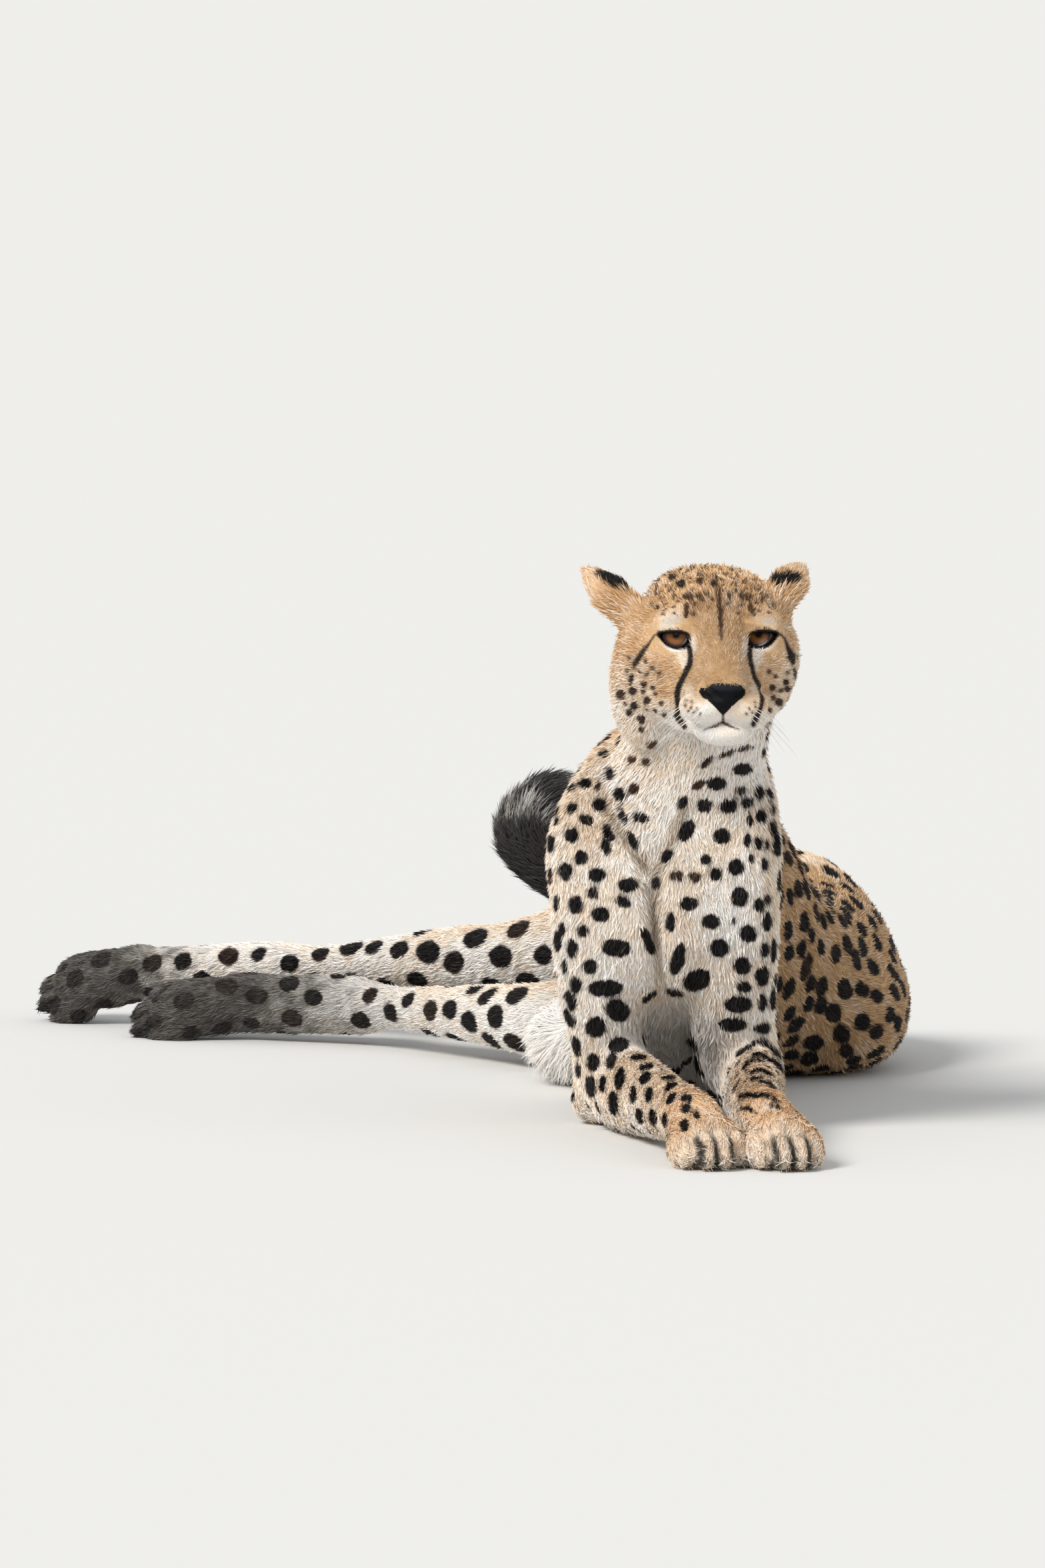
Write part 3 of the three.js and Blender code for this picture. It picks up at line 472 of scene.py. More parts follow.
def ear(root, tip, across):
    """A cupped leaf from root to tip. across runs over its width, and its back faces forward."""
    back = unit(np.cross(unit(across), unit(tip - root)))
    back = back if back[1] > 0 else -back
    at = lambda t, lift=0: mix(root, tip, t) + back * lift
    leaf = Sleeve([
        (at(-0.35), EAR_WIDTH, 13, back), (at(0.1, 1), EAR_WIDTH * 1.05, 12, back),
        (at(0.45, 1), EAR_WIDTH * 0.92, 10, back), (at(0.75), EAR_WIDTH * 0.66, 7.5, back),
        (at(0.93, -2), EAR_WIDTH * 0.36, 5, back)], blend=12)
    bowl = Sleeve([
        (at(0.2, -19), EAR_WIDTH * 0.62, 14, back), (at(0.55, -14), EAR_WIDTH * 0.6, 9, back),
        (at(0.8, -10), EAR_WIDTH * 0.3, 5, back)], blend=5, cut=True)
    return [leaf, bowl]


def up_ear(side, q):
    """Share of the way from an ear's root to its tip."""
    root, tip = EARS[side]["root"], EARS[side]["tip"]
    return (q - root) @ (tip - root) / dot(tip - root, tip - root)


EAR_SHAPES = {side: ear(**numbers) for side, numbers in EARS.items()}
gaze = vec(math.sin(HEAD_YAW) * math.cos(HEAD_PITCH), -math.cos(HEAD_YAW) * math.cos(HEAD_PITCH),
           math.sin(HEAD_PITCH))
SKULL = Cluster(skull_shapes() + EAR_SHAPES[-1] + EAR_SHAPES[1], EYE_LEVEL, facing(gaze, UP), blend=16)

# ------------------------------------------------------------------ the whole body
LEFT_HIND = hind_leg(LEFT_HIP, LEFT_KNEE, LEFT_HOCK, LEFT_TOE_ROOT,
                     [(62, 60), (52, 46), (34, 36), (29, 29), (18, 21), (22, 28), (20, 29), (20, 29)],
                     (-1, 0.1, -0.1), (0, -0.75, 0.65))
RIGHT_HIND = hind_leg(RIGHT_HIP, RIGHT_KNEE, RIGHT_HOCK, RIGHT_TOE_ROOT,
                      [(60, 64), (52, 58), (30, 34), (27, 30), (17, 19), (21, 25), (19, 25), (19, 25)],
                      (-1, 0.36, -0.18), (0, -0.75, 0.65))
PARTS = {
    "trunk": trunk(),
    "shoulder_right": shoulder(-1, (8, 41, 71), (-104, -98, -84)),
    "shoulder_left": shoulder(1, (32, 62, 76), (30, 28, 34)),
    "neck": Cluster([NECK], blend=24),
    "skull": SKULL,
    "foreleg_right": foreleg(RIGHT_ELBOW, RIGHT_WRIST, RIGHT_PAW_TURN, (-97, 380, 19)),
    "foreleg_left": foreleg(LEFT_ELBOW, LEFT_WRIST, LEFT_PAW_TURN),
    "hind_left": LEFT_HIND,
    "hind_right": RIGHT_HIND,
    "tail": Cluster([TAIL], blend=16),
}
NAMES = list(PARTS)
FORELEGS, HINDLEGS = ("foreleg_right", "foreleg_left"), ("hind_left", "hind_right")
SHOULDERS = ("shoulder_right", "shoulder_left")
PAWS = [(name, PARTS[name].paw, FOREPAW if name in FORELEGS else HIND_PAW) for name in FORELEGS + HINDLEGS]


def body_distance(p):
    """Distance from the coat's outline, and each part's own distance, at points p."""
    whole = np.full(len(p), FAR)
    own = np.full((len(p), len(PARTS)), FAR)
    for k, part in enumerate(PARTS.values()):
        margin = REACH + part.blend
        near = np.all((p > part.low - margin) & (p < part.high + margin), axis=1)
        if near.any():
            q = p[near]
            own[near, k] = part.distance(q)
            whole[near] = join(whole[near], own[near, k], part.blend_at(q))
    return whole, own


def shares(own, soft=9.0):
    """How much each part counts at each point; the shares add up to 1."""
    w = np.exp(-(own - own.min(1, keepdims=True)) / soft)
    return w / w.sum(1, keepdims=True)


# ------------------------------------------------------------------ how deep the coat is
BODY_DEPTH, BELLY_DEPTH, SHOULDER_DEPTH, NECK_DEPTH, TAIL_DEPTH = 3.6, 8.5, 3.4, 4.6, 7.0
LEG_DEPTH, PAW_DEPTH, LID_DEPTH, EAR_DEPTH = 2.8, 2.2, 0.15, 1.3
HEAD_DEPTHS = [-90, -40, 0, 30, 55, 66], [4.6, 4.0, 2.6, 1.8, 1.2, 0.6]     # places ahead, depths
SKIN_FLOOR = 1.2    # the skin's lowest level: pressed hair fills the gap below it


def head_depth(p):
    """How deep the coat is over the head: thin on the face, lids and ears."""
    q = SKULL.inside(p)
    depth = np.interp(q[:, 1], *HEAD_DEPTHS)
    for side in (-1, 1):
        eye = np.linalg.norm(q - vec(side * EYE_HALF_SPACING, 0, 0), axis=1)
        depth = mix(LID_DEPTH, depth, smooth(21, 30, eye))
        flap = EAR_SHAPES[side][0].distance(q)
        root, tip = EARS[side]["root"], EARS[side]["tip"]
        outer = smooth(0.05, 0.4, (q - root) @ unit(tip - root) / 50)
        depth = mix(depth, EAR_DEPTH, outer * smooth(8, 2, flap))
    return depth


def coat_depth(p, own):
    """How far the skin lies inside the coat's outline at points p."""
    low_belly = smooth(-40, -100, p[:, 0]) * smooth(120, 40, p[:, 2]) * smooth(520, 620, p[:, 1])
    fixed = {"trunk": mix(BODY_DEPTH, BELLY_DEPTH, low_belly), "neck": NECK_DEPTH, "tail": TAIL_DEPTH}
    fixed |= {name: SHOULDER_DEPTH for name in SHOULDERS}
    fixed |= {name: mix(PAW_DEPTH, LEG_DEPTH, smooth(90, 170, p[:, 1])) for name in FORELEGS}
    fixed |= {name: mix(PAW_DEPTH, LEG_DEPTH, smooth(-440, -320, p[:, 0])) for name in HINDLEGS}
    depths = np.full((len(p), len(PARTS)), BODY_DEPTH)
    for name, depth in fixed.items():
        depths[:, NAMES.index(name)] = depth
    k = NAMES.index("skull")
    near = own[:, k] < FAR - 1
    if near.any():
        depths[near, k] = head_depth(p[near])
    return (shares(own) * depths).sum(1)


def skin_distance(p):
    """Distance from the skin, which lies inside the coat's outline and never under the floor."""
    whole, own = body_distance(p)
    return np.maximum(whole + coat_depth(p, own), SKIN_FLOOR - p[:, 2])


# ------------------------------------------------------------------ meshing
def ladder(low, high, stops):
    """Grid lines from low to high whose spacing runs smoothly through stops, (place, spacing)."""
    places, spacings = zip(*stops)
    lines = [low]
    while lines[-1] < high:
        lines.append(lines[-1] + np.interp(lines[-1], places, spacings))
    return np.array(lines)


FINE = 1.3
GRID = [
    ladder(-640, 220, [(-620, 4.6), (-320, 4.6), (-110, 3.6), (-72, FINE), (84, FINE), (112, 3.4),
                       (200, 5)]),
    ladder(-14, 1262, [(0, 2.6), (105, 2.8), (124, 1.5), (150, FINE), (206, FINE), (240, 2.2), (330, 2.8),
                       (400, 5), (960, 5), (1250, 4.2)]),
    ladder(-9, 512, [(0, 3), (60, 3.4), (120, 5), (325, 4.4), (345, 1.7), (360, FINE), (458, FINE),
                     (500, 2.2)]),
]
BLOCK = 4     # grid cells to a side of the blocks that are looked at first


def in_chunks(function, p, size=150_000):
    parts = [function(p[i:i + size]) for i in range(0, len(p), size)]
    return np.concatenate(parts)


def sample_grid(function, lines):
    """Values on the grid, worked out only in blocks near the surface."""
    blocks = [np.arange(0, len(g), BLOCK) for g in lines]
    shape = [len(b) * BLOCK for b in blocks]
    lines = [np.concatenate([g, g[-1] + (g[-1] - g[-2]) * np.arange(1, n - len(g) + 1)])
             for g, n in zip(lines, shape)]
    edges = [np.append(g[::BLOCK], g[-1]) for g in lines]
    middles = [(e[1:] + e[:-1]) / 2 for e in edges]
    sizes = [np.diff(e) for e in edges]
    centre = np.stack(np.meshgrid(*middles, indexing="ij"), -1).reshape(-1, 3)
    half = np.linalg.norm(np.stack(np.meshgrid(*sizes, indexing="ij"), -1).reshape(-1, 3), axis=1) / 2
    rough = in_chunks(function, centre)
    count = [len(m) for m in middles]
    values = rough.reshape(count).astype(np.float32)
    for axis in range(3):
        values = np.repeat(values, BLOCK, axis)
    near = np.argwhere((np.abs(rough) < half * 1.25 + 1.5).reshape(count))
    within = np.stack(np.meshgrid(*[np.arange(BLOCK)] * 3, indexing="ij"), -1).reshape(-1, 3)
    cells = (near[:, None] * BLOCK + within[None]).reshape(-1, 3)
    places = np.stack([lines[a][cells[:, a]] for a in range(3)], 1)
    values[tuple(cells.T)] = in_chunks(function, places)
    return values, lines


def surface_net(values, lines):
    """Vertices and quads, facing out, where the values change sign; one vertex to a grid cell."""
    inside = values < 0
    corners = [(a, b, c) for a in (0, 1) for b in (0, 1) for c in (0, 1)]
    n = np.array(values.shape) - 1
    full = np.zeros(n, np.int8)
    for a, b, c in corners:
        full += inside[a:n[0] + a, b:n[1] + b, c:n[2] + c]
    active = (full > 0) & (full < 8)
    cell = np.argwhere(active)
    index = np.full(active.shape, -1, np.int32)
    index[active] = np.arange(len(cell))
    value = {c: values[tuple((cell + c).T)] for c in corners}
    total, count = np.zeros((len(cell), 3)), np.zeros(len(cell))
    for c in corners:
        for axis in range(3):
            if c[axis]:
                continue
            other = tuple(1 if k == axis else c[k] for k in range(3))
            here, there = value[c], value[other]
            crosses = (here < 0) != (there < 0)
            point = np.tile(np.array(c, float), (len(cell), 1))
            point[:, axis] += np.where(crosses, here / np.where(crosses, here - there, 1), 0)
            total += point * crosses[:, None]
            count += crosses
    at = cell + total / count[:, None]
    points = np.stack([np.interp(at[:, a], np.arange(len(lines[a])), lines[a]) for a in range(3)], 1)
    quads = []
    for axis in range(3):
        u, v = np.eye(3, dtype=int)[(axis + 1) % 3], np.eye(3, dtype=int)[(axis + 2) % 3]
        one = [slice(None)] * 3
        two = [slice(None)] * 3
        one[axis], two[axis] = slice(0, -1), slice(1, None)
        edge = np.argwhere(inside[tuple(one)] != inside[tuple(two)])
        outward = inside[tuple(edge.T)]
        round_edge = ((1, 1), (0, 1), (0, 0), (1, 0))
        quad = np.stack([index[tuple((edge - s * u - t * v).T)] for s, t in round_edge], 1)
        quad[~outward] = quad[~outward][:, ::-1]
        quads.append(quad)
    return points, np.vstack(quads)


def slope(function, p, step=0.4):
    """The function at p and its gradient there."""
    here = in_chunks(function, p)
    return here, np.stack([(in_chunks(function, p + step * e) - here) / step for e in np.eye(3)], 1)


def settle(function, p, rounds=2):
    """Moves points onto the surface; also gives the outward directions there."""
    for _ in range(rounds):
        f, g = slope(function, p)
        square = np.maximum(dot(g, g), 0.15)
        p = p - (np.clip(f / square, -2, 2)[:, None]) * g
    return p, unit(slope(function, p)[1])


# ------------------------------------------------------------------ the skin's shape
net_values, net_lines = sample_grid(skin_distance, GRID)
SKIN, QUADS = surface_net(net_values, net_lines)
SKIN, NORMALS = settle(skin_distance, SKIN)
OUTLINE, OWN = body_distance(SKIN)
DEPTH = np.maximum(-OUTLINE, 0.2)
SHARE = shares(OWN)
HEAD_AT = SKULL.inside(SKIN)      # every place on the skin in the head's own frame


def share(*names):
    return sum(SHARE[:, NAMES.index(n)] for n in names)


IS_HEAD, IS_NECK, IS_TAIL, IS_TRUNK = share("skull"), share("neck"), share("tail"), share("trunk")
IS_FORELEG, IS_HINDLEG, IS_SHOULDER = share(*FORELEGS), share(*HINDLEGS), share(*SHOULDERS)


def wobble(p, size, seed, waves=7):
    """A smooth random value at each point, about -1 to 1, that changes over the given distance."""
    r = np.random.default_rng(seed)
    k = unit(r.normal(size=(waves, 3))) * (2 * math.pi / size) * r.uniform(0.7, 1.4, (waves, 1))
    return np.sin(p @ k.T + r.uniform(0, 2 * math.pi, waves)).sum(1) / math.sqrt(waves)


def flat(v, normal):
    """v laid onto the skin."""
    return v - dot(v, normal)[:, None] * normal


# ------------------------------------------------------------------ which way the hair lies
def lie_of_coat():
    n = len(SKIN)
    down = np.tile(-UP, (n, 1))
    out = np.zeros((n, 3))

    front = smooth(430, 320, SKIN[:, 1])[:, None]
    i, t = SPINE.place(SKIN)
    along = SPINE.heading(SKIN) - 0.35 * SPINE.at(SPINE.ups, i, t)
    out += IS_TRUNK[:, None] * mix(along, vec(0, 0.35, -1), front)

    out += IS_NECK[:, None] * (-NECK.heading(SKIN) + 0.35 * NORMALS)
    for name in SHOULDERS:
        out += share(name)[:, None] * (PARTS[name].shapes[0].heading(SKIN) + vec(0, 0.25, -0.2))
    for name in FORELEGS + HINDLEGS:
        out += share(name)[:, None] * (PARTS[name].bone.heading(SKIN) + 0.2 * down)
    out += IS_TAIL[:, None] * TAIL.heading(SKIN)

    q = HEAD_AT
    face = unit(q - vec(0, 64, -28)) + vec(0, 0, -0.5) * (
        smooth(-10, -50, q[:, 1]) * smooth(10, -20, q[:, 2]))[:, None]
    for side, numbers in EARS.items():
        flap = EAR_SHAPES[side][0].distance(q)
        on_ear = smooth(7, 2, flap) * smooth(-0.1, 0.25, up_ear(side, q))
        face = mix(face, unit(numbers["tip"] - numbers["root"]), on_ear[:, None])
    out += IS_HEAD[:, None] * (face @ SKULL.axes)
    return unit(flat(unit(out), NORMALS) + 1e-6)


LIE = lie_of_coat()

# ------------------------------------------------------------------ the face as it is seen from the front
SEEN_FROM = math.radians(6.5)     # how far above level the front view looks down
VIEW_UP = vec(0, math.sin(SEEN_FROM), math.cos(SEEN_FROM))
VIEW_IN = vec(0, math.cos(SEEN_FROM), -math.sin(SEEN_FROM))
CAMERA_AT = -14600 * VIEW_IN      # far off, as through a long lens
EYE_DISTANCE = (vec(*EYE_LEVEL) - CAMERA_AT) @ VIEW_IN


def front_place(p):
    """Right and up from between the eyes of points as the camera sees them, on a plane at the eyes."""
    nearer = EYE_DISTANCE / ((p - CAMERA_AT) @ VIEW_IN)
    level = vec(*EYE_LEVEL)
    return np.stack([p[:, 0] * nearer - level[0], (p - CAMERA_AT) @ VIEW_UP * nearer
                     - (level - CAMERA_AT) @ VIEW_UP], 1)


FRONT_PLACE = front_place(SKIN)
FRONT_DEPTH = (SKIN - CAMERA_AT) @ VIEW_IN
TOWARDS = -(NORMALS @ VIEW_IN)
facing_us = np.flatnonzero(TOWARDS > 0.05)


def on_skin(place):
    """The skin's nearest point behind a place in the front view."""
    away = np.linalg.norm(FRONT_PLACE[facing_us] - place, axis=1)
    close = away < max(away.min() + 0.5, 1.5)
    picked = facing_us[close]
    return SKIN[picked[FRONT_DEPTH[picked].argmin()]]


def line_distance(p, line, widths):
    """Distance from the edge of a tapering stripe along a line of points."""
    out = np.full(len(p), FAR)
    for a, b, wa, wb in zip(line[:-1], line[1:], widths[:-1], widths[1:]):
        t = np.clip((p - a) @ (b - a) / max(dot(b - a, b - a), 1e-6), 0, 1)
        out = np.minimum(out, np.linalg.norm(p - a - t[:, None] * (b - a), axis=1) - mix(wa, wb, t))
    return out


STRIPES = {     # places in the front view with half widths
    "tear_right": [(-25.5, -7.5, 2.0), (-23.7, -13.2, 1.9), (-23.4, -17.4, 2.0), (-24.1, -23.7, 2.2),
                   (-29.1, -34.3, 2.3), (-33.5, -43, 2.4), (-34.8, -48.2, 2.4), (-35, -53.3, 2.1),
                   (-34.9, -57.4, 1.7), (-34, -62.6, 1.9), (-35.2, -67.2, 2.3), (-32, -71.8, 2.4),
                   (-28, -77, 1.5)],
    "tear_left": [(27, -8.2, 1.9), (26.3, -14.6, 1.8), (27, -21.6, 1.8), (28.4, -25.8, 1.7),
                  (30.3, -34.3, 1.6), (34.9, -43, 1.7), (36.8, -48.7, 1.9), (37.4, -54.5, 1.6),
                  (36.4, -60.3, 1.5), (34.1, -65.5, 1.9), (32, -70, 2.3), (29.2, -75.3, 1.6)],
    "brow": [(-2, 47, 0.8), (0.3, 37, 1.6), (1.6, 24, 2.0), (2.0, 13, 2.0), (2.2, 5, 1.4), (2.6, -4, 0.4)],
    "corner_right": [(-49.5, 1.5, 0.8), (-54, 1.0, 0.6), (-57.5, -4, 0.6), (-61, -9, 1.5), (-65, -15, 1.9),
                     (-69.5, -22, 2.2), (-71.5, -27, 1.0)],
    "corner_right_low": [(-72.5, -31, 1.0), (-73.5, -37, 1.9), (-74, -40, 1.2)],
    "corner_left": [(49, 2, 0.8), (53, 1.5, 0.8), (56.5, -2, 0.7), (59.5, -12, 1.7), (62, -19, 2.4),
                    (62.5, -23, 1.5)],
    "corner_left_low": [(63.5, -27, 0.8), (64.5, -32, 1.7), (64.5, -37, 0.8)],
    "philtrum": [(4.1, -64.5, 0.9), (4.1, -69, 0.6), (3.8, -73, 1.1)],
    "mouth_right": [(3.8, -73, 1.0), (0.3, -74.6, 0.9), (-3.2, -76.2, 0.8), (-7.5, -77.6, 0.3),
                    (-12.4, -79.6, 0)],
    "mouth_left": [(3.8, -73, 1.0), (7.2, -74.6, 0.9), (10.7, -76.4, 0.7), (14.1, -77.8, 0.2),
                   (18, -79.2, 0)],
}
SOFT_STRIPES = {"brow": 0.55, "philtrum": 0.3, "mouth_right": 0.3, "mouth_left": 0.3}       # how brown
DOTS = [        # places in the front view, radius, brownness
    (-31.3, 44.3, 3.8, 0.05), (-38.6, 49.3, 3.4, 0.15), (-16.8, 34.4, 2.2, 0.45),
    (-13.9, 31.5, 1.9, 0.45), (-9.9, 36.4, 2.2, 0.35), (19.8, 34.4, 2.2, 0.35), (8.9, 34.4, 2, 0.45),
    (-4, 44.3, 2.8, 0.25), (-15.8, 46.3, 3, 0.25), (36.6, 31.5, 2, 0.55), (-62.7, -40.7, 2.6, 0.35),
    (-55.2, -43.5, 2.1, 0.45), (-59.9, -53.8, 3, 0.25), (-71.1, -58.4, 3.6, 0.15),
    (-56.1, -26.6, 1.9, 0.65), (-50, -30.9, 1.9, 0.75), (-60.4, -31.9, 1.9, 0.65),
    (-65.5, -70.6, 3.6, 0.25), (-75.7, -65, 2.8, 0.25), (-82.4, -49.1, 3.8, 0.35),
    (-72.1, -46.2, 3.4, 0.25), (-65.3, -79.4, 2.4, 0.15), (-53, -48.7, 1.9, 0.65),
    (-48.5, -56.6, 1.9, 0.75), (-45.5, -66.5, 1.9, 0.65), (-53.5, -62.6, 1.9, 0.55),
    (-63.4, -46.7, 1.9, 0.45), (45.8, -43.5, 2.8, 0.45), (57, -38.8, 2.6, 0.25),
    (51.5, -55.7, 3.2, 0.25), (46.8, -51.9, 2.2, 0.45), (61.4, -17.3, 3.4, 0.1), (58, -44.5, 2.4, 0.25),
    (41.2, -74.4, 3, 0.25), (52.5, -45.8, 1.9, 0.45), (43.6, -62.6, 1.9, 0.55),
    (48.5, -33.9, 1.9, 0.65), (42.6, -29.9, 1.9, 0.75), (54.5, -62.6, 2.6, 0.25),
    (47.5, -69.5, 2, 0.35), (-27.5, -54.5, 0.9, 0.75), (36.1, -54.5, 0.9, 0.75),
    (-22.5, -55.7, 0.9, 0.75), (31.1, -55.7, 0.9, 0.75), (-28, -59, 0.9, 0.75), (36.6, -59, 0.9, 0.75),
    (-23, -60.2, 0.9, 0.75), (31.6, -60.2, 0.9, 0.75), (-18, -61.4, 0.9, 0.75),
    (26.6, -61.4, 0.9, 0.75), (-25.5, -63.5, 0.9, 0.75), (34.1, -63.5, 0.9, 0.75),
    (-20.5, -64.7, 0.9, 0.75), (29.1, -64.7, 0.9, 0.75), (-15.5, -65.9, 0.9, 0.75),
    (24.1, -65.9, 0.9, 0.75),
]
BARS = [        # across the left forearm: half width, then places in the front view
    (2.4, [(17, -354), (23, -350), (31, -344.5), (36.5, -344), (42.5, -347.5), (48, -353), (53, -359)]),
    (1.9, [(31, -355), (35, -354), (41, -358), (47, -361.5), (51, -365), (54, -370)]),
    (1.6, [(22.5, -366.5), (25.5, -361.5), (29, -359), (33.5, -359), (38, -361)]),
    (1.8, [(28.5, -370), (32, -367.5), (38, -367.5), (42.5, -371), (47, -372)]),
    (1.6, [(29, -375.5), (33.5, -374), (38, -374)]),
    (1.5, [(36.5, -377), (41, -378.5), (45, -380.5), (48, -384)]),
    (1.8, [(19, -391.5), (25, -388.5), (32, -389.5), (41, -388.5), (47, -391.5), (52.5, -394.5)]),
    (1.5, [(45, -397.5), (51, -399), (55.5, -401)]),
    (1.6, [(19.5, -400), (25.5, -400), (30.5, -402.5), (35, -405)]),
    (1.2, [(14.5, -385), (16.5, -380.5), (19, -376)]),
]
BLOTCHES = [    # marks on brow, neck, chest and forelegs: place, half length, half width, angle, brownness
    (-25.4, 33.5, 4.2, 2.2, 0, .6), (-27, 22.5, 6.5, 1.6, 85, .55), (24.4, 33, 4.2, 2, 20, .6),
    (28, 23.5, 6, 1.6, -65, .6),
    (-73, -105, 3.6, 2.8, 0, .45), (-61, -107, 3.2, 2.6, 0, .5), (-57, -92, 4.5, 3, 20, .5),
    (-86, -78, 3, 2.2, 0, .5), (-17, -126, 6, 2.6, 30, .3), (-10, -107, 7, 2, 40, .2),
    (6, -100, 9, 1.5, 24, .3), (22, -95, 7, 1.3, 14, .3), (-91, -117, 5.6, 3.5, 90, 0),
    (-113, -125, 4.9, 4, 0, 0), (-102, -128, 2.8, 2.5, 90, .35), (-97, -101, 5.4, 3.1, 0, 0),
    (-125, -129, 4.2, 3.1, 0, 0), (-83, -135, 6.3, 4.5, -60, 0), (-71, -130, 4, 4, 0, .35),
    (-100, -144, 6.3, 4.9, -20, 0), (-124, -146, 4.5, 3.4, 30, 0), (-136, -149, 4.2, 3.5, 60, 0),
    (-112, -156, 6.3, 3.5, -25, 0), (-136, -158, 3.1, 2.8, 40, 0), (-124, -169, 5.9, 5.4, 90, 0),
    (-93, -167, 7.8, 3.5, -55, 0), (-81, -153, 7.8, 2.8, -60, 0), (-72, -174, 8.5, 3.1, -65, 0),
    (-141, -177, 6.8, 4, 90, 0), (-95, -180, 6.8, 3.5, -60, 0), (-65, -154, 7.8, 3.5, -10, 0),
    (-116, -188, 5.4, 5.4, 0, 0), (-129, -200, 7.1, 5.9, 90, 0), (-102, -203, 7.3, 5.4, 0, 0),
    (-76, -211, 8.5, 4.9, 0, 0), (-106, -218, 4.9, 4, 0, 0), (-120, -228, 7.1, 5.9, 90, 0),
    (-136, -227, 7.1, 2.1, 90, 0), (-99, -236, 7.8, 5.9, 0, 0), (-80, -226, 7.3, 3.5, -20, 0),
    (-131, -248, 5.4, 2.1, 90, 0), (-114, -250, 4.9, 4.5, 0, 0), (-135, -259, 8.5, 2.8, 90, 0),
    (-123, -265, 7.1, 4, 90, 0), (-86, -264, 12.4, 6.8, -5, 0), (-138, -278, 6.3, 2.5, 90, 0),
    (-129, -280, 5.9, 2.1, 90, 0), (-108, -280, 5.9, 5.9, 0, 0), (-60, -259, 13.4, 3.5, -65, 0),
    (-120, -295, 6.8, 4.5, 90, 0), (-95, -298, 14.8, 6.3, 5, 0), (-138, -297, 7.8, 2.1, 90, 0),
    (-141, -204, 7.1, 1.4, 90, 0), (-58, -228, 5.6, 3.5, 90, 0), (-52, -210, 5.4, 3.5, 90, 0),
    (20, -113, 8.5, 4.5, 0, 0), (-2, -125, 7.8, 5.4, 0, 0), (38, -99, 4.9, 4, 0, 0),
    (18, -131, 5.0, 3.2, 0, 0), (34, -133, 6.3, 3.5, 90, 0), (43, -134, 4.9, 3.1, 90, 0),
    (24, -142, 4.9, 4, 0, 0), (8, -144, 7.8, 5.4, 0, 0), (-12, -144, 6.3, 4.9, 0, 0),
    (-30, -141, 6.3, 3.1, 60, 0), (-27, -165, 9.9, 5.4, 60, 0), (3, -170, 7.3, 6.3, 0, 0),
    (36, -153, 5.4, 4.2, 90, 0), (27, -156, 4.5, 2.5, 90, 0), (46, -163, 5.6, 3.5, 90, 0),
    (46, -148, 3.1, 2.8, 90, 0), (25, -173, 5.4, 3.1, 90, 0), (34, -176, 5.4, 2.8, 90, 0),
    (41, -178, 4, 1.7, 90, 0), (49, -178, 8.5, 4, 90, 0), (-10, -190, 4.9, 3.5, 0, 0),
    (15, -196, 6.8, 6.3, 30, 0), (-2, -202, 5.6, 4.9, 0, 0), (-35, -204, 5.6, 4, 0, .3),
    (-20, -205, 5.9, 4, 0, .3), (34, -204, 7.8, 4.2, 90, 0), (39, -194, 5.6, 2.5, 90, 0),
    (28, -189, 4, 2.1, 90, 0), (18, -221, 7.8, 7.1, 90, 0), (34, -228, 5.4, 4.2, 90, 0),
    (41, -223, 4.5, 2.5, 90, 0), (-25, -227, 8.5, 4.9, 0, 0), (-6, -242, 8.5, 5.4, 0, 0),
    (13, -242, 2.8, 2.8, 0, 0), (41, -242, 7.8, 4, 90, 0), (25, -252, 7.1, 6.8, 0, 0),
    (1, -264, 8.2, 7.1, 0, 0), (-40, -242, 7.8, 3.5, 90, 0), (-34, -274, 14.1, 4.9, 75, 0),
    (20, -279, 7.1, 7.1, 0, 0), (39, -266, 5.6, 3.5, 90, 0), (46, -267, 9.9, 2.8, 90, 0),
    (37, -288, 8.2, 5.6, 90, 0), (-18, -291, 12, 8.7, 25, 0), (22, -297, 5.6, 4, 0, 0),
    (48, -292, 5.6, 2, 90, 0), (-43, -187, 5.6, 4, 50, 0), (-124, -309, 8.2, 4, -70, 0),
    (-125, -324, 7.8, 4.2, -60, 0), (-85, -317, 10.6, 8.5, -35, 0), (-103, -331, 9.2, 7.8, 50, 0),
    (-119, -348, 9.2, 4, 90, 0), (-84, -346, 8.7, 5.9, 10, 0), (-105, -361, 7.8, 5.4, 75, 0),
    (-90, -360, 7.1, 4, 70, 0), (-117, -368, 6.3, 2, 90, 0), (-107, -382, 9.2, 4.5, 90, 0),
    (-97, -379, 6.8, 3.1, 90, 0), (-83, -374, 9.9, 4.5, 90, 0), (-88, -396, 9.9, 4.9, 90, 0),
    (-71, -388, 7.1, 2.8, 90, 0), (-62, -374, 5.6, 5.6, 0, 0), (-58, -388, 5.9, 3.5, 90, 0),
    (-61, -365, 6.3, 3.1, 10, 0), (-68, -357, 7.1, 2.5, 0, 0), (-40, -391, 5.4, 4.9, 40, 0),
    (-40, -381, 5.9, 4, 20, 0), (-42, -374, 7.1, 2.1, 0, 0), (-55, -408, 7.1, 4.9, 90, 0),
    (-66, -407, 6.3, 3.5, 90, 0), (-45, -410, 5.6, 3.1, 90, 0), (-27, -391, 4.9, 3.1, 0, 0),
    (-27, -400, 4, 4, 50, 0), (-28, -414, 5.4, 3.5, 90, 0), (-18, -406, 3.1, 2.5, 90, 0),
    (17, -312, 12, 6.3, 0, 0), (37, -310, 7.1, 3.5, 90, 0), (45, -309, 8.5, 2.5, 90, 0),
    (12, -329, 12, 4.9, 0, 0), (38, -332, 8.5, 4.2, 0, 0), (21, -297, 4.9, 4, 0, 0),
]


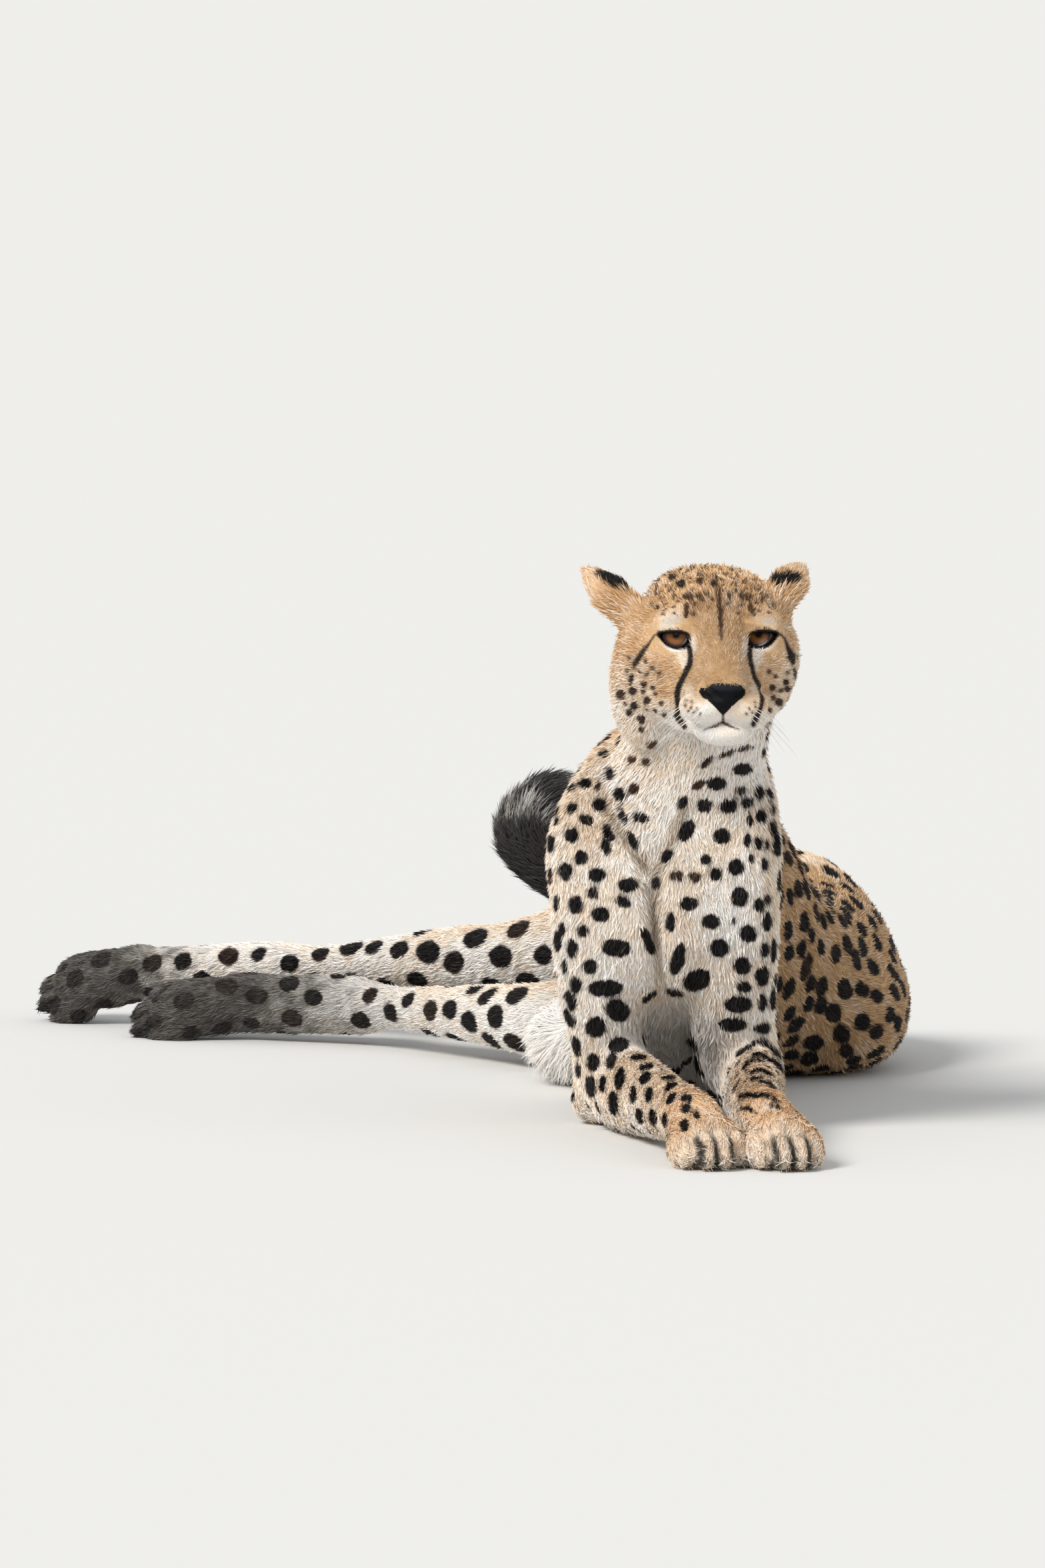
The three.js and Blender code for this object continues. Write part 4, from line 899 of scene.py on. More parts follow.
LINES = [(np.array([s[:2] for s in stripe], float), [s[2] for s in stripe], SOFT_STRIPES.get(name, 0.05))
         for name, stripe in STRIPES.items()]
LINES += [(np.array(bar, float), [half] * (len(bar) - 1) + [half * 0.4], 0.0) for half, bar in BARS]
ROUND_MARKS = [(on_skin(mark[:2]), *mark) for mark in DOTS]
OVAL_MARKS = [(on_skin(blotch[:2]), *blotch) for blotch in BLOTCHES]


MARK_EDGE = 12      # how far outside a mark its distance is still worked out
MARKED_TO = 420     # the set marks end here, behind the shoulders


def set_marks(points):
    """Distance from the edge of the nearest mark that has a set place, and how brown that mark is."""
    away, brown = np.full(len(points), FAR), np.zeros(len(points))
    near = np.flatnonzero((points[:, 1] < MARKED_TO) & (points[:, 2] > 8))
    p, place = points[near], front_place(points[near])

    def add(who, distance, how_brown):
        closer = distance < away[near[who]]
        brown[near[who[closer]]] = how_brown
        away[near[who]] = np.minimum(away[near[who]], distance)

    for line, halves, how_brown in LINES:
        deep = np.array([on_skin(at) for at in line])
        who = np.flatnonzero(np.all((p > deep.min(0) - MARK_EDGE) & (p < deep.max(0) + MARK_EDGE), axis=1))
        along = line_distance(p[who], deep, [4 * half + 8 for half in halves])       # ends it in depth
        add(who, np.maximum(line_distance(place[who], line, halves), along), how_brown)
    for centre, u, v, radius, how_brown in ROUND_MARKS:
        who = np.flatnonzero(np.abs(p - centre).max(1) < radius + MARK_EDGE)
        off = (place[who] - vec(u, v)) * vec(1.06, 0.94)
        add(who, np.hypot(*off.T) - radius, how_brown)
    for centre, u, v, half_long, half_wide, angle, how_brown in OVAL_MARKS:
        who = np.flatnonzero(np.abs(place - vec(u, v)).max(1) < half_long + 9)
        a = math.radians(angle)
        off = place[who] - vec(u, v)
        along, across = off @ vec(math.cos(a), math.sin(a)), off @ vec(-math.sin(a), math.cos(a))
        deep = np.maximum(np.abs((p[who] - centre) @ VIEW_IN) - 2, 0) * half_wide / (1.3 * half_long + 5)
        r = np.sqrt((along / (half_long + 0.5)) ** 2 + (across / (half_wide + 0.5)) ** 2
                    + (deep / (half_wide + 0.5)) ** 2)
        r = np.maximum(r, 0.02)
        add(who, np.sqrt(along ** 2 + across ** 2 + deep ** 2) * (1 - 1 / r), how_brown)
    return away, brown


SET_MARKS = set_marks(SKIN)[0]


# ------------------------------------------------------------------ spots
def by_part(trunk, shoulder, neck, skull, foreleg, hind, tail):
    """One number for each place on the skin from numbers for the parts."""
    per = [trunk, shoulder, shoulder, neck, skull, foreleg, foreleg, hind, hind, tail]
    return sum(SHARE[:, k] * np.broadcast_to(v, len(SKIN)) for k, v in enumerate(per))


ALONG_TAIL = TAIL.along(SKIN)
DOWN_FORELEG = smooth(330, 120, SKIN[:, 1])        # 0 at the elbow, 1 at the wrist
DOWN_HINDLEG = smooth(-60, -380, SKIN[:, 0])       # 0 at the thigh, 1 at the hock
BACK_SIDE = SPINE.height(SKIN)                     # 1 along the back, -1 along the belly
ON_BACK = smooth(0.2, 0.8, BACK_SIDE)
CHEEK = smooth(20, 0, HEAD_AT[:, 2])
CROWN_RADIUS = mix(1.5, 2.3, smooth(0, -30, HEAD_AT[:, 1]))
SPACING = by_part(mix(20.8, 19.6, ON_BACK), 20, 18, mix(7.6, 10.5, CHEEK),
                  mix(21, 10, DOWN_FORELEG), mix(30, 26, DOWN_HINDLEG), 20)
RADIUS = by_part(mix(8.4, 8.1, ON_BACK), 6.0, 4.4, mix(CROWN_RADIUS, 2.0, CHEEK),
                 mix(4.8, 1.8, DOWN_FORELEG), mix(10.4, 8.2, DOWN_HINDLEG), 5)


def bare_head():
    """Where the head has no scattered spots."""
    x, y, z = HEAD_AT.T
    crown = (z > 20) & (y < 14) | (z > 8) & (y < -50)
    cheek = (np.abs(x) > 47) & (np.abs(x) < 76) & (y < 10) & (z < -20) & (z > -66)
    on_ear = np.min([EAR_SHAPES[side][0].distance(HEAD_AT) for side in (-1, 1)], 0) < 6
    return (IS_HEAD > 0.4) & (~(crown | cheek) | on_ear)


NO_SPOTS = bare_head()
NO_SPOTS |= (SKIN[:, 1] < 46) & (IS_FORELEG > 0.5)                  # the forepaws' toes
NO_SPOTS |= ((TOWARDS > 0.2) & (SKIN[:, 1] < 400) & (IS_HEAD < 0.5)
             & (FRONT_PLACE[:, 0] < 64))                            # where the marks are set one by one
NO_SPOTS |= DEPTH > 6.2                                             # the shaggy belly and the tail


SPOT_TRIES = 120_000
CELL = 32.0             # the side of a cell for finding near spots, wider than any spacing
AROUND = [(a, b, c) for a in (-1, 0, 1) for b in (-1, 0, 1) for c in (-1, 0, 1)]
ROOM_BY_MARKS = 0.42    # how near a spot may come to a set mark, as a share of its spacing


def throw_spots():
    """Random places with room between them; returns indices of skin points."""
    order = rng.permutation(len(SKIN))
    cells, taken = {}, []

    def crowded(i, x, y, z):
        """Whether point i, in this cell, is too near one that is taken on the same side of the body."""
        for a, b, c in AROUND:
            for j in cells.get((x + a, y + b, z + c), ()):
                off = SKIN[j] - SKIN[i]
                room = 0.5 * (SPACING[i] + SPACING[j])
                if off @ off < room ** 2 and NORMALS[j] @ NORMALS[i] > -0.2:
                    return True
        return False

    for i in order[:SPOT_TRIES]:
        if NO_SPOTS[i] or SET_MARKS[i] < SPACING[i] * ROOM_BY_MARKS:
            continue
        cell = tuple((SKIN[i] // CELL).astype(int))
        if not crowded(i, *cell):
            cells.setdefault(cell, []).append(i)
            taken.append(i)
    return np.array(taken)


SPOTS = throw_spots()
spot_size = RADIUS[SPOTS] * rng.uniform(0.82, 1.15, len(SPOTS))
spot_long = rng.uniform(1.1, 1.32, len(SPOTS))        # length over width
spot_long += 0.08 * (IS_TRUNK + IS_SHOULDER)[SPOTS] * rng.random(len(SPOTS))
spot_brown = np.clip(rng.normal(0.02, 0.06, len(SPOTS)) + smooth(3, 1.2, spot_size) * 0.4
                     + 0.3 * IS_HEAD[SPOTS], 0, 1)
spot_turn = rng.normal(0, 0.3, len(SPOTS))
spot_ahead = unit(LIE[SPOTS] * np.cos(spot_turn)[:, None]
                  + np.cross(NORMALS[SPOTS], LIE[SPOTS]) * np.sin(spot_turn)[:, None])
SPOT_TREE = kdtree.KDTree(len(SPOTS))
for k, i in enumerate(SPOTS):
    SPOT_TREE.insert(SKIN[i], k)
SPOT_TREE.balance()


def markings(p, normals):
    """Distance from the nearest mark's edge at points on the skin, and how brown the mark is."""
    near = np.array([[hit[1] for hit in SPOT_TREE.find_n(q, 3)] for q in p])
    away, brown = set_marks(p)
    body = smooth(330, 290, p[:, 2]) + smooth(330, 360, p[:, 1])
    uneven = np.clip(body, 0, 1) * (0.7 * wobble(p, 7, 41) + 0.35 * wobble(p, 3.5, 42))
    for column in near.T:
        off = p - SKIN[SPOTS[column]]
        ahead = dot(off, spot_ahead[column])
        rest = np.sqrt(np.maximum(dot(off, off) - ahead ** 2, 0))
        size = spot_size[column]
        r = np.maximum(np.hypot(ahead / (size * spot_long[column]), rest / size), TINY)
        d = np.linalg.norm(off, axis=1) * (1 - 1 / r)
        d = np.where(dot(normals, NORMALS[SPOTS[column]]) < -0.1, FAR, d)
        d = np.where(r < CORE, -size, d)
        brown = np.where(d < away, spot_brown[column], brown)
        away = np.minimum(away, d)
    return away + uneven, brown


MARK, BROWN = markings(SKIN, NORMALS)
print("skin", len(SKIN), "spots", len(SPOTS))


# ------------------------------------------------------------------ colour zones
def spot_of(place, half, power=2.0):
    """1 inside an oval in the front view, falling to 0 outside it."""
    off = (FRONT_PLACE - vec(*place)) / vec(*half)
    return smooth(1.5, 0.6, (np.abs(off) ** power).sum(1) ** (1 / power))


def slanted(degrees, half_long, half_wide):
    """The two directions that turn a place about an oval's middle into shares of its half sizes."""
    a = math.radians(degrees)
    return vec(math.cos(a), math.sin(a)) / half_long, vec(-math.sin(a), math.cos(a)) / half_wide


LID_EDGE = np.minimum(*[o.flat_distance(HEAD_AT) for o in OPENINGS])
BROWS = [(vec(-38.5, 12.6), slanted(26, 13, 5.4)), (vec(41, 13), slanted(-22, 13, 5.8))]


def oval_share(oval):
    """How far out each place lies in a slanted oval of the front view: 0 at its middle, 1 at its edge."""
    middle, ways = oval
    return np.hypot(*[(FRONT_PLACE - middle) @ way for way in ways])


BROW_PALE = np.maximum(*[smooth(1.6, 0.1, oval_share(oval)) for oval in BROWS])
BROW_PALE *= (IS_HEAD > 0.5) * (HEAD_AT[:, 1] > -20)
BROW_PALE *= np.clip(0.8 + 0.4 * wobble(SKIN, 5, 44), 0, 1)


def eye_rim_and_brow_shadow():
    """The black edge of the lids, wider above the eye than below; the extra width above is painted shadow
    of the brow and lashes.
    """
    wide = mix(1.2, 2.3, smooth(-1, 5, HEAD_AT[:, 2]))
    return smooth(wide + 0.7, wide - 0.3, LID_EDGE) * (HEAD_AT[:, 1] > 2) * (IS_HEAD > 0.3)


WHITE_BELOW = [-80, -20, 20, 50, 70], [-55, -62, -54, -49, -50]     # places ahead, levels up
FACE_PALE = [    # pale patches: place in the front view, half width and half height, tone
    ((-29, -15), (5, 8), 0.28), ((32, -16), (4.8, 8), 0.28),                # under the eyes
    ((-27.5, -22), (3.4, 8), 0.28), ((30, -23), (3.4, 8), 0.28),
    ((-20.5, -9), (2.6, 9), 0.3), ((21.5, -9), (2.6, 9), 0.3),              # beside the tear lines
    ((-12, -62), (12, 8), 0.08), ((20, -63), (12, 8), 0.08),                # whisker pads
    ((4, -82), (24, 12), 0.0),                                              # chin
    ((-25, -50), (8, 11), 0.42), ((30, -50), (6, 11), 0.42),                # beside the nose
]


def head_tone():
    """How tan the head is, from 0, white, to 1."""
    x, y, z = HEAD_AT.T
    tone = 0.86 + 0.1 * wobble(SKIN, 26, 5)
    low = np.interp(y, *WHITE_BELOW)
    tone = mix(tone, 0.10, smooth(low + 10, low - 9, z + 2.5 * wobble(SKIN, 14, 6)))
    tone = mix(tone, 0.40, smooth(32, 62, np.abs(x + 4)) * smooth(0, -32, z) * 0.8)
    outer = smooth(38, 50, np.abs(x + 1.3))
    below_lid = smooth(5.6, 2.2, LID_EDGE) * smooth(1, -3, z) * (y > 0)
    tone = mix(tone, 0.0, below_lid * (1 - 0.7 * outer) * 0.9)
    tone = mix(tone, 0.28, BROW_PALE)
    for place, half, pale in FACE_PALE:
        tone = mix(tone, pale, spot_of(place, half) * (y > -30) * 0.9)
    return np.clip(tone, 0, 1)


EAR_PATCH = {-1: (vec(-87.5, 46.5), slanted(-22, 16, 6.2)), 1: (vec(55.5, 47), slanted(8, 12.5, 5.4))}


def ear_dark():
    """The black patch on each ear's back, seen from the front, and its pale rim."""
    dark, pale = np.zeros(len(SKIN)), np.zeros(len(SKIN))
    for side in EARS:
        along = up_ear(side, HEAD_AT)
        flap = EAR_SHAPES[side][0].distance(HEAD_AT)
        front = smooth(-0.1, 0.15, TOWARDS) * smooth(9, 4, flap) * smooth(-0.35, -0.1, along)
        dark = np.maximum(dark, front * smooth(1.15, 0.85, oval_share(EAR_PATCH[side])))
        pale = np.maximum(pale, smooth(9, 4, flap) * smooth(0.45 if side < 0 else -0.1, 0.8, along))
    return dark, pale


EAR_BLACK, EAR_PALE = ear_dark()
front_chest = smooth(420, 330, SKIN[:, 1])
faces_up = NORMALS[:, 2]
TONE = by_part(
    mix(smooth(-0.75, -0.1, BACK_SIDE) * 0.92, 0.17, front_chest),
    0.20 + 0.14 * smooth(-0.1, 0.9, faces_up) + 0.5 * smooth(0.1, -0.3, TOWARDS),
    0.13 + 0.66 * smooth(-0.15, 0.65, NECK.height(SKIN)),
    head_tone(),
    0.2 + 0.2 * smooth(-0.5, 0.7, faces_up) * (0.5 + 0.5 * DOWN_FORELEG),
    0.08 + 0.3 * smooth(0.1, 0.9, faces_up) * (1 - DOWN_HINDLEG),
    mix(0.6, 0.12, smooth(0.05, 0.35, ALONG_TAIL)))
TONE = np.clip(TONE + 0.07 * wobble(SKIN, 70, 8) + 0.04 * wobble(SKIN, 22, 9), 0, 1)
TONE = mix(TONE, 0.2, EAR_PALE * 0.8)
TONE = mix(TONE, 0.02, smooth(5.4, 7.2, DEPTH) * IS_TRUNK)
between = smooth(60, 40, np.abs(SKIN[:, 0] + 33)) * (SKIN[:, 1] < 560)
HOLLOW = IS_TRUNK * smooth(125, 90, SKIN[:, 2]) * between       # under the chest, between the forelegs
TONE = mix(TONE, 0.05, HOLLOW)

TAIL_BANDS = [(0.30, 0.36), (0.42, 0.50), (0.55, 0.78), (0.84, 0.935)]
band = np.zeros(len(SKIN))
wavy = ALONG_TAIL + 0.012 * wobble(SKIN, 40, 12)
for start, end in TAIL_BANDS:
    band = np.maximum(band, smooth(start - 0.01, start + 0.01, wavy) * smooth(end + 0.01, end - 0.01, wavy))
tail_end = smooth(0.45, 0.6, ALONG_TAIL) * smooth(0.96, 0.93, ALONG_TAIL)
tail_end *= np.clip(0.72 + 0.25 * wobble(SKIN, 18, 14), 0, 0.97)
DARK = np.maximum.reduce([IS_TAIL * np.maximum(band * 0.97, tail_end), EAR_BLACK, eye_rim_and_brow_shadow()])


def paw_zones():
    """Dark fur with painted shade between the toes, pale toes, and dust on the hind feet."""
    cleft_shade, toes, dust = np.zeros(len(SKIN)), np.zeros(len(SKIN)), np.zeros(len(SKIN))
    for name, foot, size in PAWS:
        q = foot.inside(SKIN)
        mine = share(name)
        gap = np.min([np.abs(q[:, 0] - g * size["width"] * TOE_STEP) for g in (-1.0, 0.0, 1.0)], 0)
        ahead = q[:, 1] / size["length"]
        cleft_shade = np.maximum(cleft_shade, mine * smooth(3.4, 1.0, gap) * smooth(0.72, 0.9, ahead)
                           * smooth(0.30, 0.0, q[:, 2] / size["height"]))
        toes = np.maximum(toes, mine * smooth(0.6, 0.84, ahead))
        if name in HINDLEGS:
            back = -2.1 if name == "hind_left" else -1.0
            dust = np.maximum(dust, mine * smooth(back, 0.2, ahead + 0.2 * wobble(SKIN, 20, 13)))
    return cleft_shade, toes, dust


TOE_CLEFT_SHADE, TOES_PALE, DUST_AND_SHADE = paw_zones()
TONE = mix(TONE, 0.26, TOES_PALE * (1 - DUST_AND_SHADE) * 0.8)
# partly darker fur, partly painted shade: the fur between the toes is darkened where shadow falls
DARK = np.maximum(DARK, TOE_CLEFT_SHADE * 0.92)
DUST_AND_SHADE = np.maximum(DUST_AND_SHADE, BROW_PALE * 0.26)
RUST = IS_FORELEG * smooth(150, 80, SKIN[:, 1]) * smooth(-0.2, 0.6, faces_up) * (1 - 0.85 * TOES_PALE)
RUST *= np.clip(0.85 + 0.35 * wobble(SKIN, 16, 15), 0, 1)
RUST = np.maximum(RUST, IS_HEAD * smooth(18, 40, HEAD_AT[:, 2]) * smooth(15, -10, HEAD_AT[:, 1]) * 0.9)
DUST_AND_SHADE = np.maximum(DUST_AND_SHADE, 0.14 * IS_TRUNK * smooth(0.5, 0.9, TONE))
MOTTLE = np.clip(0.5 + 0.3 * wobble(SKIN, 9, 16) + 0.2 * wobble(SKIN, 4.5, 17), 0, 1)
DUST_AND_SHADE = np.where(IS_HINDLEG > 0.5, DUST_AND_SHADE * mix(0.78, 1.0, MOTTLE), DUST_AND_SHADE)
# painted shade: the fur in the hollow under the chest, between the forelegs, is greyed and darkened,
# standing for the shadow there
DUST_AND_SHADE = np.maximum(DUST_AND_SHADE, HOLLOW * 0.35)
bridge = smooth(-52, -36, HEAD_AT[:, 2]) * smooth(36, 22, np.abs(HEAD_AT[:, 0] - 2))
DULL_FACE = IS_HEAD * smooth(-5, 20, HEAD_AT[:, 1]) * bridge
DUST_AND_SHADE = np.maximum(DUST_AND_SHADE, DULL_FACE * (0.08 + 0.2 * MOTTLE))
FOLD_SHADE_LINES = [[(-84, 289), (-77, 271), (-63, 249), (-55, 240), (-48, 232)],
           [(-17, 289), (-24, 267), (-32, 249), (-39, 232), (-43, 210), (-43, 174)]]
for line in FOLD_SHADE_LINES:       # painted shade: the fur is darkened along the two folds of the chest, where shadow falls, and tinted tan there
    line = np.array(line, float)
    fold_shade = line_distance(SKIN[:, [0, 2]], line, [0.0] * len(line))
    fold_shade = smooth(8, 0.5, fold_shade) * smooth(0.1, 0.5, TOWARDS) * (SKIN[:, 1] < 330) * (IS_HEAD < 0.5)
    DARK = np.maximum(DARK, 0.42 * fold_shade)
    TONE = mix(TONE, 0.5, 0.5 * fold_shade)

NOSE_OUTLINE = np.array([
    (-14.1, -44.1), (-15.3, -47.0), (-12.4, -51.2), (-8.9, -52.8), (-4.6, -56.6), (-1.6, -59.8),
    (1.5, -63.2), (4.0, -65.4), (6.3, -63.6), (9.0, -60.6), (13.0, -56.8), (16.8, -53.2), (20.5, -51.0),
    (21.9, -48.3), (21.7, -45.4), (18.8, -42.2), (14.1, -40.8), (8.4, -40.5), (2.6, -40.3), (-3.2, -40.8),
    (-6.6, -42.2), (-10.5, -45.4), (-12.0, -44.8)])


def nose_edge():
    """Signed distance from the edge of the nose leather, seen from the front."""
    edge = outline_distance(*FRONT_PLACE.T, NOSE_OUTLINE) - 0.5
    return np.where((HEAD_AT[:, 1] > 50) & (IS_HEAD > 0.5), edge, FAR)


LEATHER = nose_edge()
# painted highlight: the top of the nose leather is made lighter, standing for the sheen of light on it;
# this is 1 below that sheen
BELOW_NOSE_SHEEN = smooth(-43, -52, FRONT_PLACE[:, 1])
NOSTRILS = [((-7, -50.6), (4.6, 2.0)), ((-12.6, -47.5), (1.6, 3.6)),
            ((17, -50.6), (3.8, 1.8)), ((21, -47), (1.2, 2.6))]
# painted shade: the nostril openings are darkened to near black, standing for the shadow inside them
NOSTRIL_SHADE = np.maximum.reduce([spot_of(*oval) for oval in NOSTRILS])

# ------------------------------------------------------------------ materials
def linear(*rgb):
    """A colour as seen, 0 to 255, as the light it gives back."""
    c = np.array(rgb, float) / 255
    return (*np.where(c <= 0.04045, c / 12.92, ((c + 0.055) / 1.055) ** 2.4), 1.0)


class Wire:
    """A node's output in a sum: each operator adds a Math node."""

    def __init__(self, finish, socket):
        self.finish, self.socket = finish, socket

    def calc(self, operation, *values):
        return self.finish.node("ShaderNodeMath", {"operation": operation}, dict(enumerate(values)))

    def __add__(self, other):
        return self.calc("ADD", self, other)

    def __mul__(self, other):
        return self.calc("MULTIPLY", self, other)

    def __sub__(self, other):
        return self.calc("SUBTRACT", self, other)

    def __rsub__(self, other):
        return self.calc("SUBTRACT", other, self)

    __radd__, __rmul__ = __add__, __mul__

    def step(self, low, high, to_low=0.0, to_high=1.0):
        """A soft step from to_low at low to to_high at high."""
        settings = {"interpolation_type": "SMOOTHSTEP", "clamp": True}
        return self.finish.node("ShaderNodeMapRange", settings, {
            "Value": self, "From Min": low, "From Max": high, "To Min": to_low, "To Max": to_high})


class Finish:
    """A material with one Principled shader."""

    def __init__(self, name, **constants):
        self.material = bpy.data.materials.new(name)
        self.material.use_nodes = True
        self.tree = self.material.node_tree
        self.shader = self.tree.nodes["Principled BSDF"]
        for socket, value in constants.items():
            self.shader.inputs[socket.replace("_", " ").title().replace("Ior", "IOR")].default_value = value

    def node(self, kind, settings=None, sockets=None, out=0):
        n = self.tree.nodes.new(kind)
        for key, value in (settings or {}).items():
            if key == "stops":
                ramp = n.color_ramp.elements
                while len(ramp) < len(value):
                    ramp.new(0.5)
                for stop, (place, colour) in zip(ramp, value):
                    stop.position, stop.color = place, colour
            else:
                setattr(n, key, value)
        for key, value in (sockets or {}).items():
            if isinstance(value, Wire):
                self.tree.links.new(value.socket, n.inputs[key])
            else:
                n.inputs[key].default_value = value
        return Wire(self, n.outputs[out])

    def feed(self, socket, wire):
        self.tree.links.new(wire.socket, self.shader.inputs[socket])

    def attribute(self, name):
        return self.node("ShaderNodeAttribute", {"attribute_name": name}, out="Fac")

    def place(self):
        return self.node("ShaderNodeTexCoord", out="Object")

    def noise(self, size, detail=2.0, stretch=None):
        """Noise whose lumps are about size millimetres."""
        where = self.place()
        if stretch:
            where = self.node("ShaderNodeMapping", {}, {"Vector": where, "Scale": stretch})
        return self.node("ShaderNodeTexNoise", {}, {
            "Vector": where, "Scale": 1 / (size * MM), "Detail": detail})

    def mixed(self, share, a, b, how="MIX"):
        """Colour a turning into colour b by share."""
        settings = {"data_type": "RGBA", "blend_type": how}
        return self.node("ShaderNodeMix", settings, {0: share, 6: a, 7: b}, out=2)

    def shaded(self, colour, shade):
        """A colour made darker or lighter by a number."""
        grey = self.node("ShaderNodeCombineColor", {}, {0: shade, 1: shade, 2: shade})
        return self.mixed(1.0, colour, grey, "MULTIPLY")

    def bump(self, height, strength, depth):
        return self.node("ShaderNodeBump", {}, {
            "Height": height, "Strength": strength, "Distance": depth * MM})


WHITE_FUR, CREAM_FUR = linear(245, 242, 238), linear(238, 219, 196)
TAN_FUR, DEEP_TAN = linear(215, 176, 131), linear(180, 139, 94)
BLACK_FUR, BROWN_FUR = linear(24, 21, 21), linear(104, 72, 46)
DUST_AND_SHADE_FUR, RUST_FUR = linear(64, 60, 56), linear(226, 178, 120)


def coat_colour(f, ragged=0.0):
    """The markings, from what is stored on the mesh; ragged roughens the edges of the spots."""
    stored = [f.attribute(name) for name in ("tone", "mark", "brown", "dark", "dust", "rust", "vary")]
    tone, mark, brown, dark, dust, rust, vary = stored
    colour = f.mixed(tone.step(0.02, 0.34), WHITE_FUR, CREAM_FUR)
    colour = f.mixed(tone.step(0.3, 0.85), colour, TAN_FUR)
    colour = f.mixed(rust * 0.6, colour, RUST_FUR)
    colour = f.mixed(tone.step(0.2, 1.0) * vary.step(0.45, 1.0) * 0.6, colour, DEEP_TAN)
    colour = f.mixed(vary.step(0.35, 0.0) * 0.4, colour, WHITE_FUR)
    # greys the fur towards a dull grey-brown: real dust on the hind feet, and painted shade in the hollow
    # under the chest
    colour = f.mixed(dust, colour, DUST_AND_SHADE_FUR)
    edge = mark + ragged if ragged else mark
    spot = f.mixed(brown, BLACK_FUR, BROWN_FUR)
    colour = f.mixed(edge.step(1.8, 0.2) * 0.35, colour, BROWN_FUR)
    colour = f.mixed(edge.step(0.8, -0.7), colour, spot)
    colour = f.mixed(dust.step(0.4, 1.0) * 0.55, colour, DUST_AND_SHADE_FUR)
    return f.mixed(dark, colour, BLACK_FUR)


def undercoat():
    f = Finish("undercoat", roughness=0.85, specular_ior_level=0.2)
    grain = f.noise(1.1, 3.0)
    colour = coat_colour(f, (grain - 0.5) * 3.0)
    f.feed("Base Color", f.shaded(colour, grain.step(0.25, 0.75, 0.78, 1.0)))
    f.feed("Normal", f.bump(grain, 0.5, 0.5))
    return f.material


def tuft_finish():
    f = Finish("coat hair", roughness=0.62, specular_ior_level=0.28)
    f.feed("Base Color", f.shaded(coat_colour(f), f.attribute("tip").step(0.0, 0.8, 0.78, 1.06)))
    return f.material


def leather_finish():
    f = Finish("nose leather", specular_ior_level=0.1)
    pebble = f.node("ShaderNodeTexVoronoi", {"feature": "F1"}, {
        "Vector": f.place(), "Scale": 1 / (0.9 * MM)})
    fur = f.attribute("leather").step(0.0, 1.6)
    skin = f.mixed(f.noise(4, 2.0).step(0.3, 0.7), linear(8, 9, 13), linear(13, 14, 18))
    # painted highlight: lighter leather at the top of the nose
    skin = f.mixed(f.attribute("nose_low").step(0.5, 0.0), skin, linear(30, 32, 38))
    # painted shade inside the nostrils
    skin = f.mixed(f.attribute("nostril"), skin, linear(3, 3, 4))
    f.feed("Base Color", f.mixed(fur, skin, coat_colour(f)))
    f.feed("Roughness", fur.step(0, 1, 0.55, 0.85))
    f.feed("Normal", f.bump(pebble + 0.5 * f.noise(3.5), 0.45, 0.35))
    return f.material


# ------------------------------------------------------------------ meshes
eye_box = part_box("eye_left")
eye_here = (Vector(eye_box[0]) + Vector(eye_box[1])) / 2
eye_there = SKULL.outside(vec(EYE_HALF_SPACING, 0, 0)[None])[0] * MM
SHIFT = np.array(eye_here) - eye_there          # from this script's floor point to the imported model's


def metres(points):
    return np.asarray(points) * MM + SHIFT


def placed(name, data):
    """A new object for a mesh, lamp or camera, put into the scene."""
    item = bpy.data.objects.new(name, data)
    bpy.context.scene.collection.objects.link(item)
    return item


def mesh_piece(name, points, faces, material, slot, values=None, smooth_faces=True, uv=None):
    """A piece from arrays: faces all have the same number of corners; values are floats kept per point."""
    mesh = bpy.data.meshes.new(name)
    count, corners = faces.shape
    mesh.vertices.add(len(points))
    mesh.vertices.foreach_set("co", metres(points).astype(np.float32).ravel())
    mesh.loops.add(count * corners)
    mesh.loops.foreach_set("vertex_index", faces.astype(np.int32).ravel())
    mesh.polygons.add(count)
    mesh.polygons.foreach_set("loop_start", np.arange(0, count * corners, corners, dtype=np.int32))
    mesh.polygons.foreach_set("loop_total", np.full(count, corners, np.int32))
    mesh.polygons.foreach_set("use_smooth", np.full(count, smooth_faces))
    if uv is not None:
        mesh.uv_layers.new(name="OFBake").uv.foreach_set("vector", uv[faces].astype(np.float32).ravel())
    for key, data in (values or {}).items():
        mesh.attributes.new(key, "FLOAT", "POINT").data.foreach_set("value", data.astype(np.float32))
    mesh.update(calc_edges=True)
    mesh.validate()
    mesh.materials.append(material)
    piece = placed(name, mesh)
    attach(piece, "root")
    return piece


MOST_MARK = 9       # distances from marks are kept up to this
FIELDS = {
    "tone": TONE, "mark": np.clip(MARK, -MOST_MARK, MOST_MARK), "brown": np.clip(BROWN, 0, 1),
    "dark": DARK, "dust": DUST_AND_SHADE, "rust": RUST,
}
VARY = np.clip(0.5 + 0.22 * wobble(SKIN, 35, 21) + 0.12 * wobble(SKIN, 9, 22)
               + 0.35 * spot_of((2, -14), (15, 26)) * IS_HEAD, 0, 1)
EYES = ("eye_right", "eye_left")
FLESH = [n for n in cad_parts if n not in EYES]

on_nose = (LEATHER < 1.6)[QUADS].all(1)
fur_finish, nose_finish, hair_finish = undercoat(), leather_finish(), tuft_finish()
skin_values = {**FIELDS, "vary": VARY, "leather": LEATHER, "nose_low": BELOW_NOSE_SHEEN, "nostril": NOSTRIL_SHADE}


